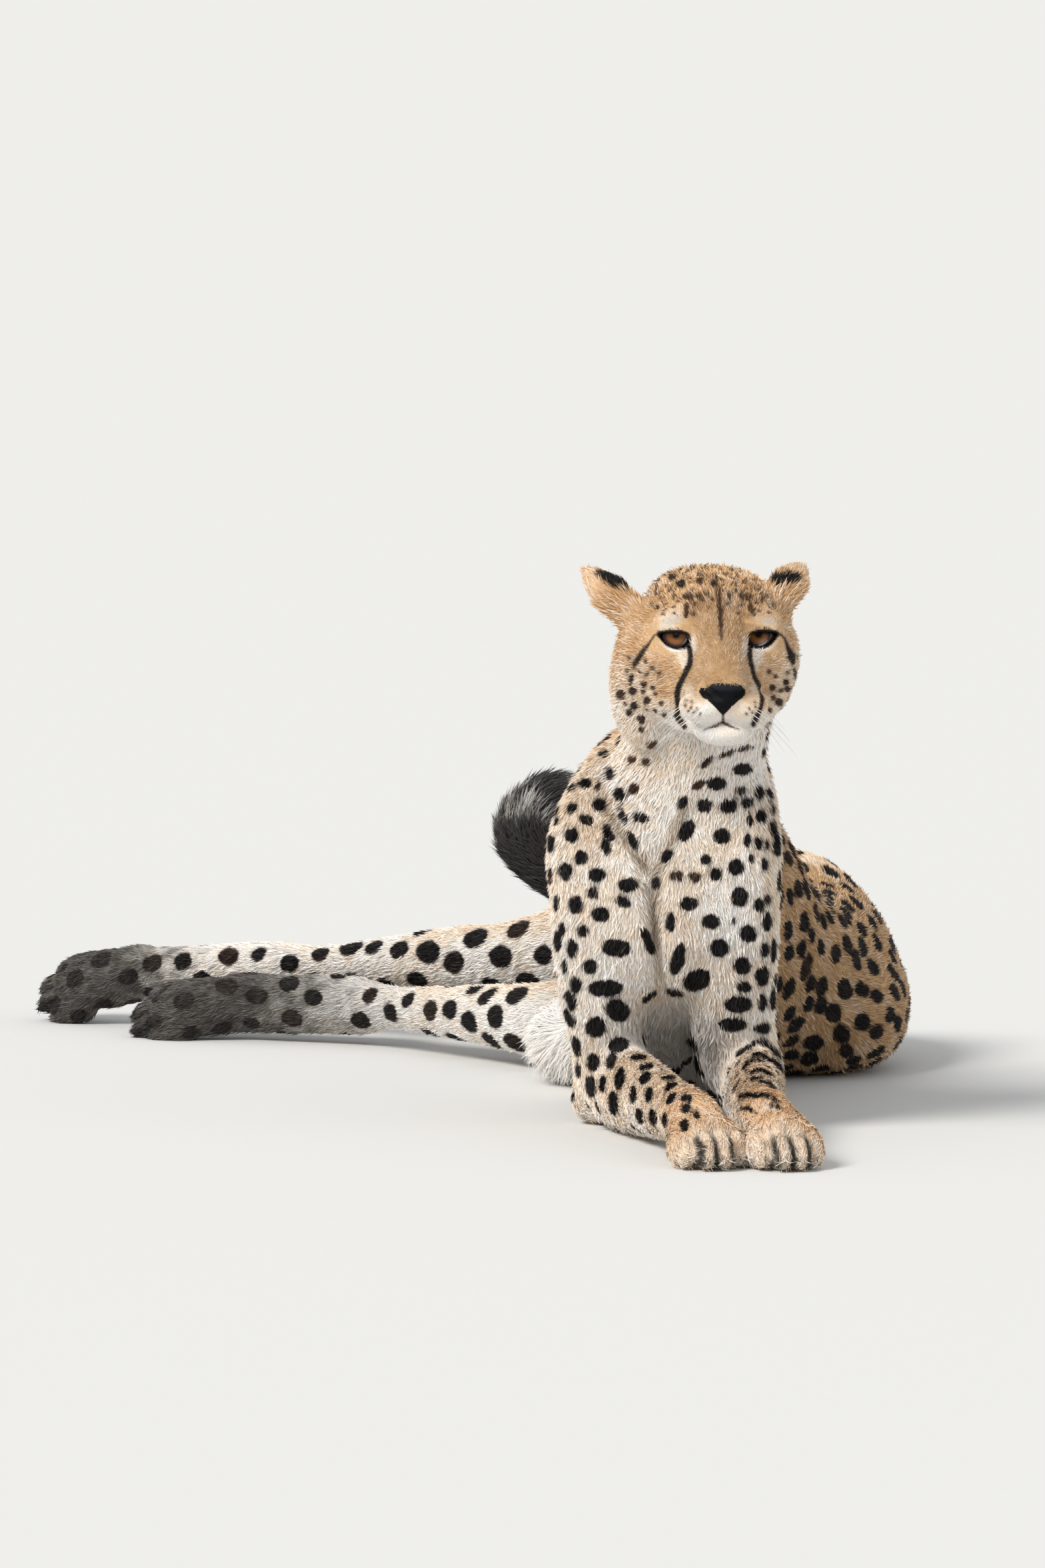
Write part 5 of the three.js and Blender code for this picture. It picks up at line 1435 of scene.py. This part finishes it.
def part_of_skin(name, faces, material, slot):
    used, compact = np.unique(faces, return_inverse=True)
    data = {k: v[used] for k, v in skin_values.items()}
    return mesh_piece(name, SKIN[used], compact.reshape(faces.shape), material, slot, data)


skin = part_of_skin("skin", QUADS[~on_nose], fur_finish, "coat")
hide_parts(*FLESH)
part_of_skin("nose", QUADS[on_nose], nose_finish, "nose_leather")

# ------------------------------------------------------------------ the coat
TRIANGLES = QUADS[:, [0, 1, 2, 0, 2, 3]].reshape(-1, 3)
corner = SKIN[TRIANGLES]
AREA = np.linalg.norm(np.cross(corner[:, 1] - corner[:, 0], corner[:, 2] - corner[:, 0]), axis=1) / 2

HEAD_LENGTHS = [-90, -40, 0, 30, 60], [11.5, 10.5, 6.4, 5.0, 3.6]      # places ahead, lengths of hair
LID_HAIR, BELLY_HAIR, HOLLOW_HAIR, EAR_HAIR, TOE_HAIR = 3.6, 28, 15, 9.0, 9.5       # other lengths
EYE_AWAY = np.min([np.linalg.norm(HEAD_AT - vec(m * EYE_HALF_SPACING, 0, 0), axis=1) for m in (-1, 1)], 0)
head_length = np.interp(HEAD_AT[:, 1], *HEAD_LENGTHS)
head_length = mix(np.minimum(head_length, LID_HAIR), head_length, smooth(20, 30, EYE_AWAY))
LENGTH = by_part(9.2, 8.6, 10.5, head_length, mix(7.2, 6.4, smooth(170, 100, SKIN[:, 1])),
                 mix(8.0, 9.0, DOWN_HINDLEG), 18.0)
shaggy = IS_TRUNK * smooth(5.6, 7.8, DEPTH)
LENGTH = mix(LENGTH, BELLY_HAIR, shaggy)
LENGTH = mix(LENGTH, HOLLOW_HAIR, HOLLOW)
LENGTH = mix(LENGTH, EAR_HAIR, np.maximum(EAR_BLACK, EAR_PALE))
LENGTH = mix(LENGTH, TOE_HAIR, IS_FORELEG * smooth(95, 60, SKIN[:, 1]))
WIDTH = mix(0.66 + LENGTH * 0.05, 1.2, shaggy)
LONG_HAIR = np.clip(shaggy + IS_TAIL + IS_NECK * 0.6 + smooth(-30, -60, HEAD_AT[:, 2]) * IS_HEAD, 0, 1)
COVER = by_part(1.5, 1.65, 1.8, 1.9, 1.65, 1.5, 2.8)      # how many tufts deep the coat lies
DENSITY = COVER / (0.5 * LENGTH * WIDTH)
DENSITY *= smooth(0.4, 1.8, LEATHER)       # none on the nose
DENSITY *= np.where((EYE_AWAY < 24) & (HEAD_AT[:, 1] > 0), smooth(0.8, 2.6, LID_EDGE), 1)
pressed = smooth(-0.75, -0.92, NORMALS[:, 2]) * smooth(14, 5, SKIN[:, 2])
DENSITY *= 1 - 0.9 * pressed               # little where the body rests on the floor


def share_out(per_triangle):
    """Picks triangles by weight, evenly along their order, with a random place in each."""
    total = np.cumsum(per_triangle)
    count = int(total[-1])
    picks = np.searchsorted(total, (np.arange(count) + rng.random(count)) * total[-1] / count)
    a, b = rng.random(count), rng.random(count)
    over = a + b > 1
    a[over], b[over] = 1 - a[over], 1 - b[over]
    return np.minimum(picks, len(per_triangle) - 1), np.stack([1 - a - b, a, b], 1)


picked, weights = share_out(AREA * DENSITY[TRIANGLES].mean(1))
SHORT_RIDGE, LONG_WIDEST = 0.45, 0.38       # shares of the way along a short and a long tuft
TIP_FLOOR, TUFT_FLOOR = 0.35, 0.3           # the lowest that hair goes over the floor
SMOKY_TIP = 4.5                             # how far a mark's colour reaches out on a dark-tipped tuft


def at_root(values):
    """Values kept per skin point, taken at each tuft's root."""
    v = values[TRIANGLES[picked]]
    return (v * (weights if v.ndim == 2 else weights[..., None])).sum(1)


ROOT, ROOT_NORMAL = at_root(SKIN), unit(at_root(NORMALS))
HOW_MANY = len(ROOT)
sway = 0.16 * wobble(ROOT, 45, 31) + 0.10 * wobble(ROOT, 16, 32) + rng.normal(0, 0.15, HOW_MANY)
lie = unit(flat(at_root(LIE), ROOT_NORMAL))
lie = unit(lie * np.cos(sway)[:, None] + np.cross(ROOT_NORMAL, lie) * np.sin(sway)[:, None])
side_way = np.cross(ROOT_NORMAL, lie)
root_length = at_root(LENGTH) * rng.uniform(0.72, 1.22, HOW_MANY)
root_width = at_root(WIDTH) * rng.uniform(0.7, 1.25, HOW_MANY)
raise_by = np.clip(at_root(DEPTH) / at_root(LENGTH), 0.08, 0.62)
clump = 1 + mix(0.3, 0.18, at_root(IS_HEAD)) * wobble(ROOT, 12, 33)
LIFT = np.arcsin(np.clip(raise_by * clump * rng.uniform(0.55, 1.12, HOW_MANY), 0.04, 0.75))
ahead = lie * np.cos(LIFT)[:, None] + ROOT_NORMAL * np.sin(LIFT)[:, None]
above = ROOT_NORMAL * np.cos(LIFT)[:, None] - lie * np.sin(LIFT)[:, None]
roll = rng.normal(0, 0.3, HOW_MANY)[:, None]
side_way, above = (side_way * np.cos(roll) + above * np.sin(roll),
                   above * np.cos(roll) - side_way * np.sin(roll))
droop = 0.06 + 0.10 * at_root(LONG_HAIR)
curve = rng.normal(0, 0.10, HOW_MANY)[:, None] * side_way - droop[:, None] * above
is_long = at_root(LONG_HAIR) > 0.55
base = ROOT - 0.3 * ROOT_NORMAL
half = (root_width / 2)[:, None]
reach = root_length[:, None]
tip_at = base + (ahead + curve) * reach
tip_at[:, 2] = np.maximum(tip_at[:, 2], TIP_FLOOR)
middle = base + (ahead * LONG_WIDEST + curve * LONG_WIDEST ** 2) * reach
SHORT = np.stack([base - side_way * half, base + side_way * half,
                  base + ahead * reach * SHORT_RIDGE + above * half * 0.7, tip_at], 1)
LONG = np.stack([base, middle - side_way * half, middle + side_way * half,
                 middle + above * half * 0.8, tip_at], 1)
for ring in (SHORT, LONG):
    ring[:, :, 2] = np.maximum(ring[:, :, 2], TUFT_FLOOR)
SHORT_FACES = np.array([(0, 2, 1), (0, 1, 3), (0, 3, 2), (1, 2, 3)])
LONG_FACES = np.array([(2, 1, 0), (1, 3, 0), (3, 2, 0), (1, 2, 4), (3, 1, 4), (2, 3, 4)])
SHORT_TIP = np.array([0, 0, SHORT_RIDGE, 1])       # how far along its tuft each point lies
LONG_TIP = np.array([0, LONG_WIDEST, LONG_WIDEST, LONG_WIDEST, 1])
PATCH = 0.003       # one tuft's size in the unit square
SHORT_UV = np.array([(0, 0), (1, 0), (0.5, 0.5), (0.5, 1)]) * PATCH
LONG_UV = np.array([(0.5, 0), (0, 0.4), (1, 0.4), (0.5, 0.6), (0.5, 1)]) * PATCH

root_fields = {k: at_root(v) for k, v in FIELDS.items()}
over_skin = flat(tip_at - ROOT, ROOT_NORMAL)
half_mark, half_brown = markings(ROOT + over_skin * 0.5, ROOT_NORMAL)
tip_mark, tip_brown = markings(ROOT + over_skin, ROOT_NORMAL)
MARK_ALONG = np.stack([root_fields.pop("mark"), *np.clip([half_mark, tip_mark], -MOST_MARK, MOST_MARK)], 1)
root_fields["brown"] = np.where(half_mark < tip_mark, half_brown, tip_brown)
how_smoky = by_part(0.01, 0.01, 0.02, 0.15 - 0.1 * CHEEK, 0.02 + 0.06 * DOWN_FORELEG, 0.01, 0.0)
smoky = rng.random(HOW_MANY) < at_root(how_smoky)
brown_rough = mix(1.4, 0.25, at_root(CHEEK)) * root_fields["brown"]
rough = mix(0.28, 0.16, at_root(IS_HEAD)) + brown_rough * (MARK_ALONG.min(1) < 3)
MARK_ALONG += (rng.normal(0, 1, HOW_MANY) * rough)[:, None]
MARK_ALONG[smoky, 2] -= SMOKY_TIP
root_fields["brown"][smoky] = 0.8
vary_by = mix(0.26, 0.36, at_root(IS_HEAD))
root_fields["vary"] = np.clip(at_root(VARY) + rng.normal(0, 1, HOW_MANY) * vary_by, 0, 1)
root_fields["tone"] = np.clip(root_fields["tone"] + rng.normal(0, 0.09, HOW_MANY), 0, 1)
main_part = np.argmax(at_root(SHARE), 1)


def unwrapped(roots, normals, labels):
    """A place in the unit square for each root: the skin laid out in islands by part and facing."""
    axis = np.argmax(np.abs(normals), 1)
    facing_way = axis * 2 + (normals[np.arange(len(roots)), axis] > 0)
    island = labels * 6 + facing_way
    flat_place = np.zeros((len(roots), 2))
    boxes = []
    for code in np.unique(island):
        mine = island == code
        place = np.delete(roots[mine], (code % 6) // 2, 1)
        low = place.min(0)
        flat_place[mine] = place - low
        boxes.append((code, *(place.max(0) - low + 4)))
    boxes.sort(key=lambda b: -b[2])
    for scale_width in np.geomspace(60, 6000, 160):
        x = y = row = 0.0
        corners = {}
        for code, w, h in boxes:
            if x + w > scale_width:
                x, y, row = 0.0, y + row, 0.0
            corners[code] = (x, y)
            x, row = x + w, max(row, h)
        if y + row <= scale_width and max(b[1] for b in boxes) <= scale_width:
            break
    start = np.array([corners[c] for c in island])
    return (start + flat_place) / scale_width * (1 - 2 * PATCH) + PATCH * 0.5


def coat_piece(name, chosen, slot):
    """A coat piece from the roots chosen: short tufts are three-sided slivers, long ones bent spindles."""
    uv_root = unwrapped(ROOT[chosen], ROOT_NORMAL[chosen], main_part[chosen])
    stacks = []
    for is_this, shape, faces, tips, patch in ((~is_long[chosen], SHORT, SHORT_FACES, SHORT_TIP, SHORT_UV),
                                               (is_long[chosen], LONG, LONG_FACES, LONG_TIP, LONG_UV)):
        which = chosen[is_this]
        if not len(which):
            continue
        n, k = len(which), len(tips)
        data = {key: np.repeat(v[which], k) for key, v in root_fields.items()}
        data["tip"] = np.tile(tips, n)
        root_half_or_tip = (tips > 0).astype(int) + (tips == 1)
        data["mark"] = MARK_ALONG[which][:, root_half_or_tip].ravel()
        stacks.append((shape[which].reshape(-1, 3),
                       (np.arange(n)[:, None, None] * k + faces).reshape(-1, 3),
                       (uv_root[is_this][:, None] + patch).reshape(-1, 2), data))
    points = np.vstack([s[0] for s in stacks])
    offsets = np.cumsum([0] + [len(s[0]) for s in stacks[:-1]])
    faces = np.vstack([s[1] + o for s, o in zip(stacks, offsets)])
    uv = np.vstack([s[2] for s in stacks])
    data = {key: np.concatenate([s[3][key] for s in stacks]) for key in stacks[0][3]}
    return mesh_piece(name, points, faces, hair_finish, slot, data, smooth_faces=False, uv=uv)


MOST_TRIANGLES = 190_000
tuft_cost = np.where(is_long, len(LONG_FACES), len(SHORT_FACES))
GROUPS = {
    "coat_head": (("skull",), "coat"), "coat_neck": (("neck", *SHOULDERS), "pale_coat"),
    "coat_trunk": (("trunk",), "coat"), "coat_forelegs": (FORELEGS, "pale_coat"),
    "coat_hindlegs": (HINDLEGS, "pale_coat"), "coat_tail": (("tail",), "dark_tail"),
}
coat_total = 0
for group, (parts, slot) in GROUPS.items():
    mine = np.flatnonzero(np.isin(main_part, [NAMES.index(p) for p in parts]))
    mine = mine[np.argsort(ROOT[mine, 1], kind="stable")]
    cost = np.cumsum(tuft_cost[mine])
    pieces_needed = int(np.ceil(cost[-1] / MOST_TRIANGLES))
    coat_total += cost[-1]
    for k in range(pieces_needed):
        chunk = (cost > k * cost[-1] / pieces_needed) & (cost <= (k + 1) * cost[-1] / pieces_needed)
        coat_piece(f"{group}_{k + 1}", mine[chunk], slot)
print("tufts", HOW_MANY, "coat triangles", coat_total)

# ------------------------------------------------------------------ eyes
def spokes(sides, first, second):
    """Directions evenly round a circle, from two that are square to each other."""
    angle = np.arange(sides) * 2 * math.pi / sides
    return np.cos(angle)[:, None] * first + np.sin(angle)[:, None] * second


def walls(rings, sides):
    """The quads between each ring of points and the next."""
    faces = []
    for k in range(rings - 1):
        a = k * sides + np.arange(sides)
        b = k * sides + (np.arange(sides) + 1) % sides
        faces.append(np.stack([a, b, b + sides, a + sides], 1))
    return np.vstack(faces)


def turned(profile, sides, centre, axis_way):
    """A closed round shape about a direction. profile is (radius, distance ahead), rear to front."""
    f = unit(axis_way)
    s = unit(np.cross(f, UP))
    round_it = spokes(sides, s, np.cross(s, f))
    points = np.vstack([centre + f * z + round_it * r for r, z in profile])
    return points, walls(len(profile), sides)


IRIS_RADIUS, EYE_SIDES, EYE_STEPS, IRIS_STEPS = 10.1, 48, 22, 14


IRIS_STOPS = [    # share of the way out from the pupil's middle, colour
    (0.0, (6, 5, 6)), (0.22, (6, 5, 6)), (0.27, (96, 56, 22)), (0.45, (166, 106, 46)),
    (0.72, (146, 88, 36)), (0.84, (92, 52, 24)), (0.95, (16, 11, 9)), (1.0, (7, 6, 7))]


def eyeball_finish():
    f = Finish("eye", roughness=0.4, specular_ior_level=0.2, coat_weight=0.6, coat_roughness=0.05)
    around, out = f.attribute("around"), f.attribute("out")
    spread = f.node("ShaderNodeCombineXYZ", {}, {0: around * 24.0, 1: out * 1.6})
    fibres = f.node("ShaderNodeTexNoise", {"noise_dimensions": "2D"}, {
        "Vector": spread, "Scale": 1.0, "Detail": 3.0})
    iris = f.node("ShaderNodeValToRGB", {"stops": [(at, linear(*rgb)) for at, rgb in IRIS_STOPS]}, {0: out})
    iris = f.mixed(fibres.step(0.35, 0.7) * 0.4, iris, linear(84, 48, 20))
    # painted shadow: the eyeball is darkened towards black at its top, standing for the shadow of the upper
    # lid
    f.feed("Base Color", f.mixed(f.attribute("lid") * 0.9, iris, linear(7, 6, 7)))
    return f.material


eye_finish = eyeball_finish()
GAZES = (-VIEW_IN + 0.11 * VIEW_UP, -VIEW_IN + 0.12 * VIEW_UP - 0.19 * LEFT)    # right eye, left eye
for name, side, gaze in zip(EYES, (-1, 1), GAZES):
    centre = SKULL.outside(vec(side * EYE_HALF_SPACING, 0, 0)[None])[0]
    turn = np.linspace(math.pi * 0.98, math.asin(IRIS_RADIUS / EYE_RADIUS), EYE_STEPS)
    profile = [(EYE_RADIUS * math.sin(a), EYE_RADIUS * math.cos(a)) for a in turn]
    limbus = profile[-1][1]
    profile += [(IRIS_RADIUS * k, limbus - 0.5 - 1.2 * (1 - k))
                for k in np.linspace(0.98, 0.03, IRIS_STEPS)]
    points, faces = turned(profile, EYE_SIDES, centre, gaze)
    out = [min(r / IRIS_RADIUS, 1.0) if k >= EYE_STEPS else 1.0 for k, (r, z) in enumerate(profile)]
    angle = np.tile(np.abs(np.arange(EYE_SIDES) / EYE_SIDES - 0.5) * 2, len(profile))
    # painted shadow of the upper lid: 0 low on the eyeball, rising to 1 at its top
    lid_shadow = smooth(0.2, 3.4, front_place(points)[:, 1])
    ball = mesh_piece(name + "_ball", points, faces[:, ::-1], eye_finish, "eye", {
        "around": angle * 3, "out": np.repeat(out, EYE_SIDES), "lid": lid_shadow})
    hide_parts(name)


# ------------------------------------------------------------------ whiskers and claws
def tube(line, radii, sides=6):
    """A tapering round rod along points."""
    line = np.asarray(line, float)
    tangent = unit(np.gradient(line, axis=0))
    first = unit(np.cross(tangent, vec(0.3, 0.2, 0.93)))
    second = np.cross(tangent, first)
    points = np.vstack([p + r * spokes(sides, a, b) for p, r, a, b in zip(line, radii, first, second)])
    return points, walls(len(line), sides)


def joined(shapes):
    """One list of points and one of faces from several."""
    offsets = np.cumsum([0] + [len(p) for p, _ in shapes[:-1]])
    return np.vstack([p for p, _ in shapes]), np.vstack([f + o for (_, f), o in zip(shapes, offsets)])


WHISKER_ROWS = [(-50, 3), (-55, 4), (-60, 4)]      # level on the head, how many
WHISKER_RADIUS, WHISKER_SAG = 0.34, vec(0, -0.3, -0.30)


def whiskers():
    hairs = []
    for m in (-1, 1):
        face = np.flatnonzero((IS_HEAD > 0.5) & (HEAD_AT[:, 1] > 10) & (HEAD_AT[:, 0] * m > 8))
        for row, (z, count) in enumerate(WHISKER_ROWS):
            for k in range(count):
                place = vec(m * (22 + 3.0 * k + rng.uniform(-1, 1)), z - 0.8 * k + rng.uniform(-1, 1))
                away = np.linalg.norm(HEAD_AT[face][:, [0, 2]] - place, axis=1)
                start = HEAD_AT[face[away.argmin()]]
                size = rng.uniform(28, 46)
                back, down = -0.1 + rng.normal(0, 0.1), -0.5 - 0.14 * row + rng.normal(0, 0.08)
                way = unit(vec(m, back, down))
                t = np.linspace(0, 1, 8)[:, None]
                line = start - way + way * size * t + WHISKER_SAG * size * t ** 2
                hairs.append(tube(SKULL.outside(line), WHISKER_RADIUS * (1 - 0.85 * t[:, 0])))
    return joined(hairs)


def whisker_finish():
    f = Finish("whisker", roughness=0.4)
    f.feed("Base Color", f.mixed(f.noise(12).step(0.3, 0.7), linear(240, 236, 228), linear(214, 206, 194)))
    return f.material


points, faces = whiskers()
mesh_piece("whiskers", points, faces, whisker_finish(), "whisker")


def claws():
    shapes = []
    for _, foot, size in PAWS:
        for place, reach in TOES:
            x = place * size["width"] * TOE_STEP * TOE_SPREAD
            t = np.linspace(0, 1, 9)[:, None]
            y0, z0 = size["length"] * 0.95 * reach, -size["height"] * 0.40
            line = vec(x, y0, z0) + np.hstack([0 * t, 13.5 * t, 1.5 * t - 9.5 * t ** 2])
            shapes.append(tube(foot.outside(line), 1.9 * (1 - t[:, 0] ** 1.5) + 0.15, 8))
    return joined(shapes)


def claw_finish():
    f = Finish("claw", roughness=0.35)
    f.feed("Base Color", f.mixed(f.noise(3).step(0.3, 0.7), linear(48, 40, 36), linear(84, 72, 62)))
    return f.material


points, faces = claws()
points[:, 2] = np.maximum(points[:, 2], 0.4)
mesh_piece("claws", points, faces, claw_finish(), "claw")

# ------------------------------------------------------------------ room, lights and camera
FLOOR_HALF = 60.0
floor_mesh = bpy.data.meshes.new("floor")
corners = [(x * FLOOR_HALF, y * FLOOR_HALF, 0) for x, y in ((-1, -1), (1, -1), (1, 1), (-1, 1))]
floor_mesh.from_pydata(corners, [], [(0, 1, 2, 3)])
floor = placed("floor", floor_mesh)
paper = Finish("floor paper", roughness=0.9, specular_ior_level=0.1)
paper.shader.inputs["Base Color"].default_value = (0.80, 0.79, 0.77, 1)
floor_mesh.materials.append(paper.material)

world = bpy.data.worlds.new("studio")
bpy.context.scene.world = world
world.use_nodes = True
world.node_tree.nodes["Background"].inputs["Color"].default_value = (0.93, 0.97, 1.0, 1)
world.node_tree.nodes["Background"].inputs["Strength"].default_value = 0.55


def sun(name, shines, strength, softness, colour):
    """A distant lamp that shines in a direction."""
    data = bpy.data.lights.new(name, "SUN")
    data.energy, data.angle, data.color = strength, math.radians(softness), colour
    lamp = placed(name, data)
    lamp.rotation_euler = Vector(shines).to_track_quat("-Z", "Y").to_euler()


sun("key", (0.55, 0.62, -0.72), 2.6, 22, (1.0, 0.97, 0.93))
sun("fill", (-0.7, 0.6, -0.35), 0.35, 60, (0.94, 0.97, 1.0))

camera_data = bpy.data.cameras.new("camera")
camera_data.lens, camera_data.sensor_width = 400, 36
camera_data.clip_end = 200
camera = placed("camera", camera_data)
camera.location = metres(CAMERA_AT)
LOOK_LEFT, LOOK_UP = 0.010561, 0.022347      # the animal lies right of and below the middle of the frame
look = VIEW_IN - LOOK_LEFT * LEFT + LOOK_UP * VIEW_UP
camera.rotation_euler = Vector(look).to_track_quat("-Z", "Y").to_euler()
bpy.context.scene.camera = camera
bpy.context.scene.view_settings.view_transform = "Standard"
